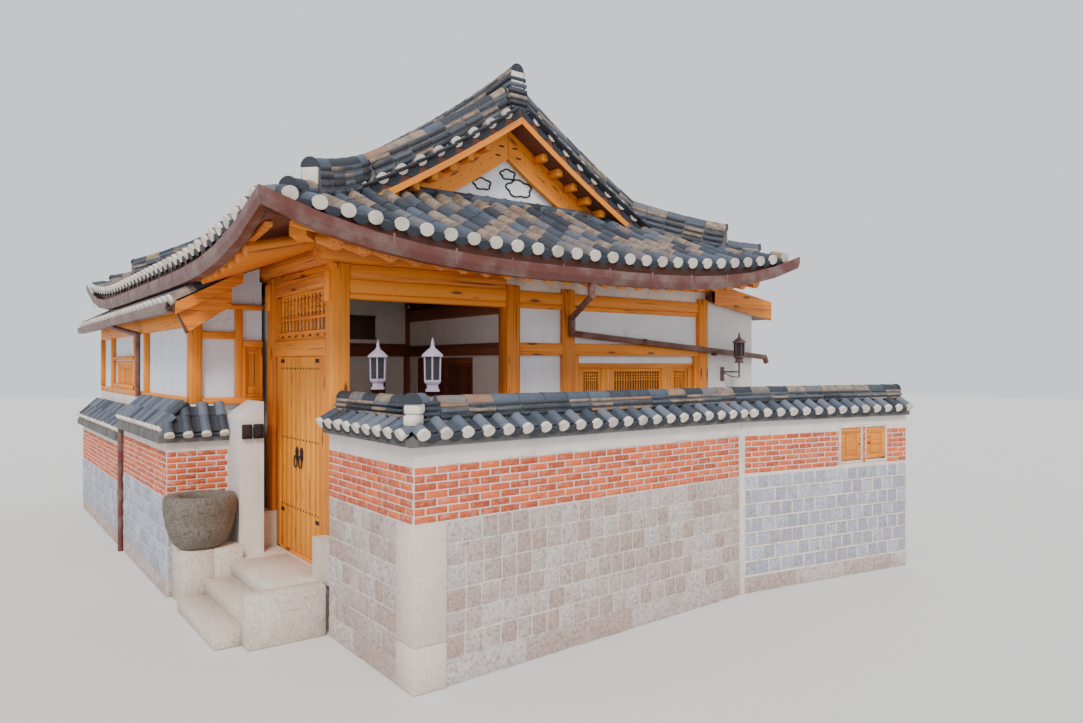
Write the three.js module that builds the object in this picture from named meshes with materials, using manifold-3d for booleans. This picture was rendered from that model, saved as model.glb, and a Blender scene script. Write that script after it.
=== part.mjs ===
// Corner hanok house: a walled timber house with a hip-and-gable tiled roof, a plank gate in a
// small porch, a lean-to wing over a masonry base, and a tile-capped garden wall.
//
// Millimetres, +Z up. The site frame has its origin on the outer street corner of the garden wall:
// +X runs along the street wall, +Y runs back along the gate side, and Z = 0 is the street there.
// The street falls away, so every wall and pier runs down to FOOT.

import * as THREE from 'three';
import Module from 'manifold-3d';

const wasm = await Module();
wasm.setup();

const FOOT = -300;
const SEAM = 0.3;

// Garden wall along the street
const WALL_T = 300;
const WALL_TOP = 1550;
const WALL_PATH = [[0, 1640], [0, 0], [4050, 250]];
const EAST_WALL_END = [6700, -150];
const COPING = { overhang: 130, eaveDrop: 30, eaveHeight: 100, shoulder: 260, halfRidge: 95, height: 410 };
const HATCH = { starts: [1531, 1956], width: 335, bottom: 1040, top: 1425, depth: 190, leaf: 22, gap: 6 };

// Gate
const POST = 180;
const GATE_X = 150;
const GATE_RIGHT_Y = 1950;
const GATE_LEFT_Y = 3720;
const DOOR = {
  y0: 2391, y1: 3559, sill: 160, head: 2260, x0: 200, x1: 245, gap: 8, pivotInset: 7,
  meeting: 4,
};
const LINTEL_TOP = 2430;
const HEAD_BEAM = 2930;
const STONE_TOP = 520;
const LANDING_TOP = 130;
const TREAD = { rise: 150, nosings: [-430, -690, -950], y0: 1860, y1: 3249.7 };

// House body
const BODY = { x0: 150, x1: 5450, y0: 1940, y1: 10150 };
const FRONT_POSTS = [2160, 2950, 5270];
const RAIL = { bottom: 2280, top: 2420 };
const FRONT_WINDOW = { x0: 3200, x1: 5200, bottom: 1300, top: 2190 };
const PURLIN = {
  radius: 120, z: 3260, front: 2030, back: 10060, left: 240, right: 5360, past: 200,
  sides: 8,
};
const PURLIN_FLAT = PURLIN.radius * Math.cos(Math.PI / PURLIN.sides);
const BEAM = { bottom: 2810, top: PURLIN.z - PURLIN_FLAT - SEAM };

// Wing over the masonry base, on the left
const WING = { x: -660, y: 4000, y1: 10450, sill: 1720, sillTop: 1800, plate: 2600 };
const WING_POSTS = [4000, 6500, 9250, 10360];
const WING_BASE = { x: -930, y: 3830, step: 6420, lowStart: 6510, end: 10450, top: 1350, lowTop: 1170 };
const WING_ROOF = { x0: -890, x1: -250, y0: 3620, y1: 10750, eave: 2825, pitch: 0.54, thickness: 110 };

// Side room under its own low roof, on the right
const SIDE_ROOM = { x1: 6400, y0: 1970, y1: 4120, wall: 120 };
const SIDE_ROOF = { x0: 5460, x1: 6700, y1: 4300, top: 3100, pitch: -0.169, thickness: 70 };
const SIDE_BOARD = { x0: 5490, y0: 1860, y1: 1905, top: 3270, depth: 250 };

// Main roof: the tile plane climbs with the distance d from the eave, and kicks up at each corner
const ROOF = { west: -750, east: 6160, front: 1120, back: 10930, eave: 3300, pitch: 0.42, curve: 4e-5 };
const ROOF_MID_X = (ROOF.west + ROOF.east) / 2;
const ROOF_MID_Y = (ROOF.front + ROOF.back) / 2;
const ROOF_HALF = ROOF_MID_X - ROOF.west;
const SLAB_T = 170;
const SLAB_EDGE = 50;
const KICK = { rise: 270, power: 2.5, reach: 2000 };
const VERGE_Y = 2430;
const GABLE = {
  boardY: 2720, boardT: 60, wallY: 2800, wallT: 120, boardDepth: 370, half: 1470,
  wallHalf: 1310,
};
const ROWS = {
  hip: [SLAB_EDGE, 350, 700, 1000], gable: [1700, 2200, 2700], skirtTop: 1900,
  skirtInset: 380,
};
const LEVEL_MARGIN = 4;

// Ridges
const RIDGE = { half: 120, endTop: 5810, midTop: 5640, y0: 2500 };
const CORNER_RIDGE = {
  half: 100, height: 400, y: 2620, hipEnd: 570, tierEnd: 300, tierHeight: 160, lift: 12,
};

// Eaves
const RAFTER = { radius: 55, pitch: 256, end: 80, inner: 1500, first: 560, hipGap: 230 };
const LATH = { d0: 90, d1: 150, height: 36, inset: 260, steps: 16 };
const HIP_RAFTER = { half: 80, depth: 210, start: 420, chamfer: 32 };
const GUTTER = {
  x: -820, y: 1050, endX: 6235, endY: 11000, top: 3180, height: 150, width: 119.5, wall: 14,
};
const GUTTER_KICK = { rise: 420, reach: 3500, power: 3.2 };

const PINE = { color: 0xc8781e, roughness: 0.62, metalness: 0 };
const DARK_PINE = { color: 0x6b3518, roughness: 0.65, metalness: 0 };
const PLASTER = { color: 0xe9e6e6, roughness: 0.9, metalness: 0 };
const TILE = { color: 0x5a6370, roughness: 0.75, metalness: 0 };
const GRANITE = { color: 0xc9c2bb, roughness: 0.9, metalness: 0 };
const STEP_STONE = { color: 0xb9ab98, roughness: 0.9, metalness: 0 };
const BASIN_STONE = { color: 0x6f665a, roughness: 0.85, metalness: 0 };
const GUTTER_METAL = { color: 0x6e3634, roughness: 0.45, metalness: 0.4 };
const IRON = { color: 0x4a4550, roughness: 0.5, metalness: 0.6 };
const LATTICE = { color: 0xb8752c, roughness: 0.6, metalness: 0 };

const site = new THREE.Group();

// Solids

function toSolid(geometry) {
  return new wasm.Manifold(new wasm.Mesh({
    numProp: 3,
    vertProperties: new Float32Array(geometry.attributes.position.array),
    triVerts: new Uint32Array(geometry.index.array),
  }));
}

function toGeometry(solid) {
  const mesh = solid.getMesh();
  const geometry = new THREE.BufferGeometry();
  geometry.setAttribute('position', new THREE.BufferAttribute(mesh.vertProperties, 3));
  geometry.setIndex(new THREE.BufferAttribute(mesh.triVerts, 1));
  geometry.computeVertexNormals();
  return geometry;
}

function fuse(geometries) {
  return toGeometry(geometries.map(toSolid).reduce((whole, piece) => whole.add(piece)));
}

function cut(geometry, cutters) {
  const rest = cutters.map(toSolid).reduce((whole, piece) => whole.subtract(piece), toSolid(geometry));
  return toGeometry(rest);
}

function moved(geometry, x, y, z) {
  return geometry.clone().translate(x, y, z);
}

function mirrored(geometry, axis, at) {
  const copy = geometry.clone();
  const scale = new THREE.Vector3(1, 1, 1).setComponent(axis, -1);
  copy.scale(scale.x, scale.y, scale.z);
  copy.translate(...new THREE.Vector3().setComponent(axis, 2 * at).toArray());
  const order = Array.from(copy.index.array);
  for (let i = 0; i < order.length; i += 3) [order[i], order[i + 1]] = [order[i + 1], order[i]];
  copy.setIndex(order);
  return copy;
}

function box(x0, x1, y0, y1, z0, z1) {
  return prism([[x0, y0], [x1, y0], [x1, y1], [x0, y1]], z0, z1);
}

function indexed(points, faces) {
  const geometry = new THREE.BufferGeometry();
  geometry.setAttribute('position', new THREE.Float32BufferAttribute(points.flat(), 3));
  geometry.setIndex(faces.flat());
  return geometry;
}

// Sweeps a closed outline of [side, up] pairs through a list of { at, side, up } stations.
function sweep(drawn, stations) {
  const clockwise = THREE.ShapeUtils.isClockWise(drawn.map(([a, b]) => new THREE.Vector2(a, b)));
  const outline = clockwise ? [...drawn].reverse() : drawn;
  const n = outline.length;
  const points = stations.flatMap(({ at, side, up }) => outline.map(([a, b]) => (
    [0, 1, 2].map((i) => at[i] + side[i] * a + up[i] * b)
  )));
  const faces = [];
  for (let s = 0; s + 1 < stations.length; s += 1) {
    for (let k = 0; k < n; k += 1) {
      const [a, b] = [s * n + k, s * n + ((k + 1) % n)];
      faces.push([a, b, b + n], [a, b + n, a + n]);
    }
  }
  const last = (stations.length - 1) * n;
  const flat = outline.map(([a, b]) => new THREE.Vector2(a, b));
  for (const [a, b, c] of THREE.ShapeUtils.triangulateShape(flat, [])) {
    faces.push([a, c, b], [last + a, last + b, last + c]);
  }
  return indexed(points, faces);
}

// Stations along a level plan path, mitred at its corners, with "side" to the left of travel.
function planStations(path) {
  return path.map(([x, y, z = 0], i) => {
    const legs = [[i - 1, i], [i, i + 1]].filter(([a, b]) => path[a] && path[b]);
    const sides = legs.map(([a, b]) => {
      const leg = new THREE.Vector2(path[b][0] - path[a][0], path[b][1] - path[a][1]).normalize();
      return new THREE.Vector2(-leg.y, leg.x);
    });
    const mean = sides.reduce((sum, side) => sum.add(side.clone()), new THREE.Vector2()).normalize();
    const reach = 1 / mean.dot(sides[0]);
    return { at: [x, y, z], side: [mean.x * reach, mean.y * reach, 0], up: [0, 0, 1] };
  });
}

// An upright slab between two heights over a plan outline.
function prism(outline, z0, z1) {
  return sweep(outline, [z0, z1].map((z) => ({ at: [0, 0, z], side: [1, 0, 0], up: [0, 1, 0] })));
}

// A plate in an upright plane parallel to X: its outline is in X and Z, and it runs from y0 to y1.
function plate(outline, y0, y1) {
  const stations = [y0, y1].map((y) => ({ at: [0, y, 0], side: [-1, 0, 0], up: [0, 0, 1] }));
  return sweep(outline.map(([x, z]) => [-x, z]), stations);
}

// A round bar with flat ends, between two points.
function bar(from, to, radius, sides = 6) {
  const start = new THREE.Vector3(...from);
  const end = new THREE.Vector3(...to);
  const along = end.clone().sub(start).normalize();
  const guide = Math.abs(along.z) > 0.9 ? new THREE.Vector3(1, 0, 0) : new THREE.Vector3(0, 0, 1);
  const side = guide.clone().cross(along).normalize().negate();
  const up = along.clone().cross(side);
  const outline = Array.from({ length: sides }, (_, k) => {
    const angle = (2 * Math.PI * (k + 0.5)) / sides;
    return [radius * Math.cos(angle), radius * Math.sin(angle)];
  });
  return sweep(outline, [start, end].map((p) => ({
    at: p.toArray(), side: side.toArray(), up: up.toArray(),
  })));
}

function add(name, geometry, look, parent = site) {
  const mesh = new THREE.Mesh(geometry, new THREE.MeshStandardMaterial(look));
  mesh.name = name;
  mesh.geometry.computeVertexNormals();
  parent.add(mesh);
  return mesh;
}

// Roof surface

function kickUp(alongEave, upSlope) {
  const near = Math.max(0, 1 - alongEave / ROOF_HALF) ** KICK.power;
  return KICK.rise * near * Math.max(0, 1 - upSlope / KICK.reach) ** 1.5;
}

function roofHeight(alongEave, upSlope) {
  return ROOF.eave + ROOF.pitch * upSlope + ROOF.curve * upSlope ** 2 + kickUp(alongEave, upSlope);
}

// A curved slab over a grid of plan rows; each row is [d, near end, far end] measured from a corner.
function roofSlab(rows, span, place) {
  const across = [0, 0.03, 0.08, 0.15, 0.24, 0.36, 0.5, 0.64, 0.76, 0.85, 0.92, 0.97, 1];
  const top = rows.map(([d, from, to]) => across.map((t) => {
    const s = from + (to - from) * t;
    const z = roofHeight(Math.min(s, span - s), d);
    return place(s, d, z);
  }));
  const columns = across.length;
  const points = [...top.flat(), ...top.flat().map(([x, y, z]) => [x, y, z - SLAB_T])];
  const under = rows.length * columns;
  const faces = [];
  const quad = (a, b, c, d) => faces.push([a, b, c], [a, c, d]);
  for (let r = 0; r + 1 < rows.length; r += 1) {
    for (let k = 0; k + 1 < columns; k += 1) {
      const a = r * columns + k;
      quad(a, a + 1, a + 1 + columns, a + columns);
      quad(under + a, under + a + columns, under + a + 1 + columns, under + a + 1);
    }
  }
  for (let k = 0; k + 1 < columns; k += 1) {
    const last = (rows.length - 1) * columns + k;
    quad(k, under + k, under + k + 1, k + 1);
    quad(last, last + 1, under + last + 1, under + last);
  }
  for (let r = 0; r + 1 < rows.length; r += 1) {
    const [a, b] = [r * columns, (r + 1) * columns];
    const [c, d] = [a + columns - 1, b + columns - 1];
    quad(a, b, under + b, under + a);
    quad(c, under + c, under + d, d);
  }
  return indexed(points, faces);
}

const vergeD = VERGE_Y - ROOF.front;

function sideSlope() {
  const span = ROOF.back - ROOF.front;
  const inHip = [...ROWS.hip, vergeD].map((d) => [d, d, span - d]);
  const inGable = [...ROWS.gable, ROOF_HALF - SEAM / 2].map((d) => [d, vergeD, span - vergeD]);
  return roofSlab([...inHip, ...inGable], span, (s, d, z) => [ROOF.west + d, ROOF.back - s, z]);
}

// The skirt meets the side slopes at a mitre, and steps in where it runs back under the gable.
function endSkirt() {
  const span = ROOF.east - ROOF.west;
  const mitred = [...ROWS.hip, vergeD - 2].map((d) => [d, d + SEAM, span - d - SEAM]);
  const under = [vergeD - 1, ROWS.skirtTop].map((d) => (
    [d, d + ROWS.skirtInset, span - d - ROWS.skirtInset]
  ));
  return roofSlab([...mitred, ...under], span, (s, d, z) => [ROOF.west + s, ROOF.front + d, z]);
}

const leftSlope = sideSlope();
const frontSkirt = endSkirt();
add('roof_left', leftSlope, TILE);
add('roof_right', mirrored(leftSlope, 0, ROOF_MID_X), TILE);
add('roof_front_skirt', frontSkirt, TILE);
add('roof_back_skirt', mirrored(frontSkirt, 1, ROOF_MID_Y), TILE);

// Height of the tile plane between two of its rows, where the corner kick has died away.
function betweenRows(rows, d) {
  const next = rows.findIndex((row, i) => i > 0 && (d <= row || i === rows.length - 1));
  const [from, to] = [rows[next - 1], rows[next]];
  const [low, high] = [from, to].map((row) => roofHeight(ROOF_HALF, row));
  return low + ((high - low) * (d - from)) / (to - from);
}

const slopeTop = (d) => betweenRows([vergeD, ...ROWS.gable, ROOF_HALF], d);
const skirtTop = (d) => betweenRows([vergeD, ROWS.skirtTop], d);

// Ridges

// A corner ridge runs down the side slope behind the verge, then turns along the hip, and ends in
// two tiers. Its underside follows the tile plane.
function tilePlaneAt(x, y) {
  const [fromSide, fromEnd] = [x - ROOF.west, y - ROOF.front];
  const onSkirt = fromEnd < fromSide && fromEnd < vergeD - 1.5 * CORNER_RIDGE.half;
  return onSkirt ? roofHeight(fromSide, fromEnd) : roofHeight(fromEnd, fromSide);
}

// Height of the mitre edge between the side slope and the skirt.
function mitreTop(d) {
  const rows = [...ROWS.hip, vergeD];
  const next = rows.findIndex((row) => d <= row);
  const [low, high] = [rows[next - 1], rows[next]].map((row) => roofHeight(row, row));
  return low + ((high - low) * (d - rows[next - 1])) / (rows[next] - rows[next - 1]);
}

function cornerRidge() {
  const { y, half, height, hipEnd, tierEnd, tierHeight, lift } = CORNER_RIDGE;
  const bend = y - ROOF.front;
  const down = [ROOF_HALF - RIDGE.half - SEAM, ...[...ROWS.gable].reverse()].map((d) => [ROOF.west + d, y]);
  const hip = [bend, vergeD, 1000, 700, hipEnd, hipEnd - 1, 350, tierEnd];
  const path = [...down, ...hip.map((d) => [ROOF.west + d, ROOF.front + d])];
  const rings = planStations(path).map(({ at, side }, i) => {
    const d = path[i][0] - ROOF.west;
    const [onHip, straight] = [i > down.length, d > KICK.reach];
    const onSlope = straight ? slopeTop(d) + SEAM : roofHeight(bend, d) + lift;
    const centre = onHip ? mitreTop(d) + SEAM : onSlope;
    const [tall, shoulder] = d < hipEnd ? [tierHeight, tierHeight - 40] : [height, 0.8 * height];
    const point = (a, z) => [at[0] + side[0] * a, at[1] + side[1] * a, z];
    const edge = (a) => point(a, straight ? centre : tilePlaneAt(...point(a, 0)) + lift);
    return [
      edge(-half), point(0, centre), edge(half), point(half, centre + shoulder),
      point(half * 0.6, centre + tall), point(-half * 0.6, centre + tall), point(-half, centre + shoulder),
    ];
  });
  return loft(rings);
}

for (const end of ['front', 'back']) {
  const left = end === 'front' ? cornerRidge() : mirrored(cornerRidge(), 1, ROOF_MID_Y);
  add(`ridge_${end}_left`, left, TILE);
  add(`ridge_${end}_right`, mirrored(left, 0, ROOF_MID_X), TILE);
}

function mainRidge() {
  const y1 = 2 * ROOF_MID_Y - RIDGE.y0;
  const steps = 12;
  const stations = Array.from({ length: steps + 1 }, (_, i) => {
    const t = (2 * i) / steps - 1;
    const top = RIDGE.midTop + (RIDGE.endTop - RIDGE.midTop) * Math.abs(t) ** 3;
    return { y: y1 + ((RIDGE.y0 - y1) * i) / steps, top };
  });
  const apex = roofHeight(ROOF_HALF, ROOF_HALF) + SEAM;
  const fall = (apex - SEAM - slopeTop(ROOF_HALF - RIDGE.half));
  return loft(stations.map(({ y, top }) => [
    [-RIDGE.half, apex - fall], [0, apex], [RIDGE.half, apex - fall], [RIDGE.half, top - 90],
    [RIDGE.half * 0.55, top], [-RIDGE.half * 0.55, top], [-RIDGE.half, top - 90],
  ].map(([x, z]) => [ROOF_MID_X + x, y, z])));
}

// Joins a list of like rings of points into one closed body with flat ends.
function loft(rings) {
  const n = rings[0].length;
  const faces = [];
  for (let s = 0; s + 1 < rings.length; s += 1) {
    for (let k = 0; k < n; k += 1) {
      const [a, b] = [s * n + k, s * n + ((k + 1) % n)];
      faces.push([a, b, b + n], [a, b + n, a + n]);
    }
  }
  const last = (rings.length - 1) * n;
  for (let k = 1; k + 1 < n; k += 1) {
    faces.push([0, k + 1, k], [last, last + k, last + k + 1]);
  }
  return indexed(rings.flat(), faces);
}

// A turned shape: rings of [radius, height] from its foot, with a flat cap on the first and the last.
function turned(profile, sides) {
  return loft(profile.map(([radius, z]) => Array.from({ length: sides }, (_, k) => {
    const angle = (2 * Math.PI * (k + 0.5)) / sides;
    return [radius * Math.cos(angle), radius * Math.sin(angle), z];
  })));
}

add('main_ridge', mainRidge(), TILE);

// Gables: a plastered triangle behind a pair of deep boards

// An upright piece under the side slopes: its top follows their underside, and its foot a level
// given for the middle and for the ends, at each of its two faces.
function underSlopes(half, y0, y1, footAt) {
  const steps = [...ROWS.gable.filter((d) => d > ROOF_HALF - half), ROOF_HALF];
  const left = [ROOF_HALF - half, ...steps].map((d) => [ROOF.west + d, slopeTop(d) - SLAB_T - SEAM]);
  const right = [...left].reverse().slice(1).map(([x, z]) => [2 * ROOF_MID_X - x, z]);
  return loft([...left, ...right].map(([x, z]) => [
    [x, y0, footAt(x, y0, z)], [x, y1, footAt(x, y1, z)], [x, y1, z], [x, y0, z],
  ]));
}

function gableWall() {
  return underSlopes(GABLE.wallHalf, GABLE.wallY, GABLE.wallY + GABLE.wallT, (x, y) => (
    skirtTop(y - ROOF.front) + (Math.abs(x - ROOF_MID_X) < 1 ? SEAM : LEVEL_MARGIN)
  ));
}

function gableBoards() {
  return underSlopes(GABLE.half, GABLE.boardY, GABLE.boardY + GABLE.boardT, (x, y, top) => {
    const foot = Math.abs(x - ROOF_MID_X) / GABLE.half;
    const level = skirtTop(y - ROOF.front) + 3 * LEVEL_MARGIN;
    return Math.max(level, top - GABLE.boardDepth * (1 - 0.35 * foot ** 3));
  });
}

for (const end of ['front', 'back']) {
  const atEnd = (piece) => (end === 'front' ? piece : mirrored(piece, 1, ROOF_MID_Y));
  add(`gable_wall_${end}`, atEnd(gableWall()), PLASTER);
  add(`gable_boards_${end}`, atEnd(gableBoards()), PINE);
}

// Eaves: rafters and their eave lath over a round purlin, with the hip rafters in the end sets

function eaveRafters(span, purlinFrom, purlinTo, purlinD, skip) {
  const reach = span / 2 - RAFTER.first;
  const count = Math.floor(reach / RAFTER.pitch);
  const lathStations = [];
  for (let i = 0; i <= LATH.steps; i += 1) {
    const s = LATH.inset + ((span - 2 * LATH.inset) * i) / LATH.steps;
    const z = roofHeight(Math.min(s, span - s), LATH.d0) - SLAB_T - 2 * LEVEL_MARGIN;
    lathStations.push({ at: [s, LATH.d0, z], side: [0, 1, 0], up: [0, 0, 1] });
  }
  const lathWidth = LATH.d1 - LATH.d0;
  const lath = [[0, -LATH.height - 8], [lathWidth, -LATH.height - 8], [lathWidth, LEVEL_MARGIN], [0, 0]];
  const pieces = [
    sweep(lath, lathStations),
    bar([purlinFrom, purlinD, PURLIN.z], [purlinTo, purlinD, PURLIN.z], PURLIN.radius, PURLIN.sides),
  ];
  for (let i = -count; i <= count; i += 1) {
    const s = span / 2 + i * RAFTER.pitch;
    const near = Math.min(s, span - s);
    const end = Math.min(RAFTER.inner, near - RAFTER.hipGap);
    const foot = roofHeight(near, RAFTER.end) - SLAB_T - LATH.height - RAFTER.radius + 4;
    const seat = PURLIN.z + PURLIN.radius + RAFTER.radius - 15;
    const slope = (seat - foot) / (purlinD - RAFTER.end);
    const head = foot + slope * (end - RAFTER.end);
    if (!skip(s)) pieces.push(bar([s, RAFTER.end, foot], [s, end, head], RAFTER.radius));
  }
  return pieces;
}

function hipRafter() {
  const { start, half, depth } = HIP_RAFTER;
  const run = ROWS.hip[2] - ROWS.hip[1];
  const [low, high] = [ROWS.hip[1], ROWS.hip[2]].map((d) => roofHeight(d, d));
  const startZ = low + ((high - low) * (start - ROWS.hip[1])) / run;
  const top = [[start, startZ], ...[...ROWS.hip.slice(2), vergeD - 2].map((d) => [d, roofHeight(d, d)])];
  const { chamfer } = HIP_RAFTER;
  const outline = [[-half, -depth], [half, -depth], [half, -chamfer], [0, 0], [-half, -chamfer]];
  return sweep(outline, planStations(top.map(([d, z]) => [d, d, z - SLAB_T - SEAM])));
}

function eaveSet(purlin, hips, skip) {
  const pieces = eaveRafters(purlin.span, purlin.from, purlin.to, purlin.d, skip);
  if (hips) pieces.push(hipRafter(), mirrored(hipRafter(), 0, purlin.span / 2));
  return fuse([...pieces, ...(purlin.stubs ?? [])]);
}

// A front eave set is laid out from the roof's front left corner with "along" as X and d as Y.
const endSpan = ROOF.east - ROOF.west;
const sideSpan = ROOF.back - ROOF.front;
const purlinStub = (x, d) => (
  bar([x, d - PURLIN.past, PURLIN.z], [x, d, PURLIN.z], PURLIN.radius, PURLIN.sides)
);
const leftPurlinD = PURLIN.left - ROOF.west;
const rightPurlinD = ROOF.east - PURLIN.right;
const frontPurlinD = PURLIN.front - ROOF.front;
const backPurlinD = ROOF.back - PURLIN.back;
const purlinPast = PURLIN_FLAT + SEAM;
const keepAll = () => false;

function endSet(d) {
  return {
    span: endSpan, from: leftPurlinD - PURLIN.past, to: endSpan - rightPurlinD + PURLIN.past, d,
    stubs: [purlinStub(leftPurlinD, d), purlinStub(endSpan - rightPurlinD, d)],
  };
}

function sideSet(d) {
  return { span: sideSpan, from: frontPurlinD + purlinPast, to: sideSpan - backPurlinD - purlinPast, d };
}

const onFront = (geometry) => moved(geometry, ROOF.west, ROOF.front, 0);
const onBack = (geometry) => moved(mirrored(geometry, 1, 0), ROOF.west, ROOF.back, 0);
const onLeft = (geometry) => (
  moved(mirrored(geometry.clone().rotateZ(Math.PI / 2), 0, 0), ROOF.west, ROOF.front, 0)
);
const onRight = (geometry) => moved(geometry.clone().rotateZ(Math.PI / 2), ROOF.east, ROOF.front, 0);
const besideBoard = (s) => Math.abs(ROOF.front + s - (SIDE_BOARD.y0 + SIDE_BOARD.y1) / 2) < 150;

add('rafters_front', onFront(eaveSet(endSet(frontPurlinD), true, keepAll)), PINE);
add('rafters_back', onBack(eaveSet(endSet(backPurlinD), true, keepAll)), PINE);
add('rafters_left', onLeft(eaveSet(sideSet(leftPurlinD), false, keepAll)), PINE);
add('rafters_right', onRight(eaveSet(sideSet(rightPurlinD), false, besideBoard)), PINE);

// Gutters and downpipes

// A bent round pipe through a list of points, mitred at each bend.
function pipe(points, radius, sides = 8) {
  const path = points.map((p) => new THREE.Vector3(...p));
  const legs = path.slice(1).map((p, i) => p.clone().sub(path[i]).normalize());
  const first = legs[0];
  const guide = Math.abs(first.z) > 0.9 ? new THREE.Vector3(1, 0, 0) : new THREE.Vector3(0, 0, 1);
  const side = guide.sub(first.clone().multiplyScalar(guide.dot(first))).normalize();
  const up = first.clone().cross(side);
  let ring = Array.from({ length: sides }, (_, k) => {
    const angle = (2 * Math.PI * k) / sides;
    return path[0].clone()
      .addScaledVector(side, radius * Math.cos(angle))
      .addScaledVector(up, radius * Math.sin(angle));
  });
  const rings = [ring];
  for (let i = 1; i < path.length; i += 1) {
    const along = legs[i - 1];
    const normal = legs[i] ? along.clone().add(legs[i]).normalize() : along;
    ring = ring.map((p) => (
      p.clone().addScaledVector(along, path[i].clone().sub(p).dot(normal) / along.dot(normal))
    ));
    rings.push(ring);
  }
  return loft(rings.map((each) => each.map((p) => p.toArray())));
}

function gutterTop(fromCorner) {
  const near = Math.max(0, 1 - fromCorner / GUTTER_KICK.reach);
  return GUTTER.top + GUTTER_KICK.rise * near ** GUTTER_KICK.power;
}

function troughOutline({ width, height, wall }) {
  return [
    [0, 0], [0, -height * 0.55], [width * 0.22, -height], [width, -height], [width, -height * 0.2],
    [width - wall, -height * 0.2], [width - wall, wall - height], [width * 0.22 + wall, wall - height],
    [wall, -height * 0.5], [wall, 0],
  ];
}

function roofGutter() {
  const leftRun = GUTTER.endY - GUTTER.y;
  const frontRun = GUTTER.endX - GUTTER.x;
  const left = Array.from({ length: 15 }, (_, i) => {
    const s = (leftRun * i) / 15;
    return [GUTTER.x, GUTTER.endY - s, gutterTop(Math.min(s, leftRun - s))];
  });
  const front = Array.from({ length: 15 }, (_, i) => {
    const s = (frontRun * i) / 14;
    return [GUTTER.x + s, GUTTER.y, gutterTop(Math.min(s, frontRun - s))];
  });
  return sweep(troughOutline(GUTTER), planStations([...left, ...front]));
}

const FRONT_PIPE = [
  [2675, 1110, 3036], [2675, 1110, 2900], [3047, 1898, 2716], [3047, 1898, 2535], [6600, 1898, 2280],
  [6640, 1898, 2200],
];
const PIPE_R = 38;
add('roof_gutter', fuse([roofGutter(), pipe(FRONT_PIPE, PIPE_R)]), GUTTER_METAL);

const wingTrough = { width: 100, height: 100, wall: 12 };
const wingGutterX = WING_ROOF.x0 - SEAM - wingTrough.width;
const wingTroughRun = planStations([
  [wingGutterX, WING_ROOF.y1 - 40, WING_ROOF.eave - 10],
  [wingGutterX, WING_ROOF.y0 + 20, WING_ROOF.eave - 10],
]);
const WING_PIPE = [
  [wingGutterX + 50, 7180, 2740], [wingGutterX + 50, 7180, 2690], [-702, 6780, 2590], [-702, 6780, 1730],
];
add('wing_gutter', fuse([
  sweep(troughOutline(wingTrough), wingTroughRun),
  pipe(WING_PIPE, 34),
]), GUTTER_METAL);
const wallPipeX = WING_BASE.x - SEAM - 34;
add('downpipe_wall', pipe([[wallPipeX, 6465, FOOT], [wallPipeX, 6465, 1425]], 34), GUTTER_METAL);

// Garden wall

function wallRun(path, top) {
  const outline = [[0, FOOT], [WALL_T, FOOT], [WALL_T, top], [0, top]];
  return sweep(outline, planStations(path));
}

const joint = WALL_PATH[2];
const eastLeg = new THREE.Vector2(EAST_WALL_END[0] - joint[0], EAST_WALL_END[1] - joint[1]);
const eastAngle = eastLeg.angle() - 2 * Math.PI;
const eastLength = eastLeg.length();
const east = new THREE.Group();
east.position.set(joint[0], joint[1], 0);
east.rotation.z = eastAngle;
site.add(east);

function eastWall() {
  const body = prism([[8, 0], [eastLength, 0], [eastLength, WALL_T], [40, WALL_T]], FOOT, WALL_TOP);
  const recesses = HATCH.starts.map((x) => (
    box(x, x + HATCH.width, -10, HATCH.depth, HATCH.bottom, HATCH.top)
  ));
  return cut(body, recesses);
}

function meterHatch(start) {
  const leaf = box(
    start + HATCH.gap, start + HATCH.width - HATCH.gap, 0, HATCH.leaf,
    HATCH.bottom + HATCH.gap, HATCH.top - HATCH.gap,
  );
  const pinX = start === HATCH.starts[0] ? start + HATCH.gap + 5 : start + HATCH.width - HATCH.gap - 5;
  const pin = bar([pinX, 2, HATCH.bottom + SEAM], [pinX, 2, HATCH.top - SEAM], 4);
  return fuse([leaf, pin]);
}

function copingOutline() {
  const { overhang, eaveDrop, eaveHeight, shoulder, halfRidge, height } = COPING;
  const mid = WALL_T / 2;
  const half = [
    [mid + overhang, -eaveDrop], [mid + overhang, eaveHeight], [halfRidge + 25, shoulder],
    [halfRidge, shoulder + 10], [halfRidge * 0.9, height - 40], [halfRidge * 0.5, height],
  ];
  const seat = [[-mid, SEAM], [mid, SEAM]].map(([a, z]) => [mid + a, WALL_TOP + z]);
  const right = half.map(([a, z]) => [mid + a, WALL_TOP + z]);
  const left = [...half].reverse().map(([a, z]) => [mid - a, WALL_TOP + z]);
  return [...seat, ...right, ...left];
}

const gateEnd = [WALL_PATH[0][0], WALL_PATH[0][1] + 30];
add('corner_wall', wallRun(WALL_PATH, WALL_TOP), GRANITE);
add('east_wall', eastWall(), GRANITE, east);
add('meter_hatch_left', meterHatch(HATCH.starts[0]), PINE, east);
add('meter_hatch_right', meterHatch(HATCH.starts[1]), PINE, east);
const copingPath = [gateEnd, ...WALL_PATH.slice(1), EAST_WALL_END];
add('wall_coping', sweep(copingOutline(), planStations(copingPath)), TILE);

// Masonry base of the wing and the pier beside the gate

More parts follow.
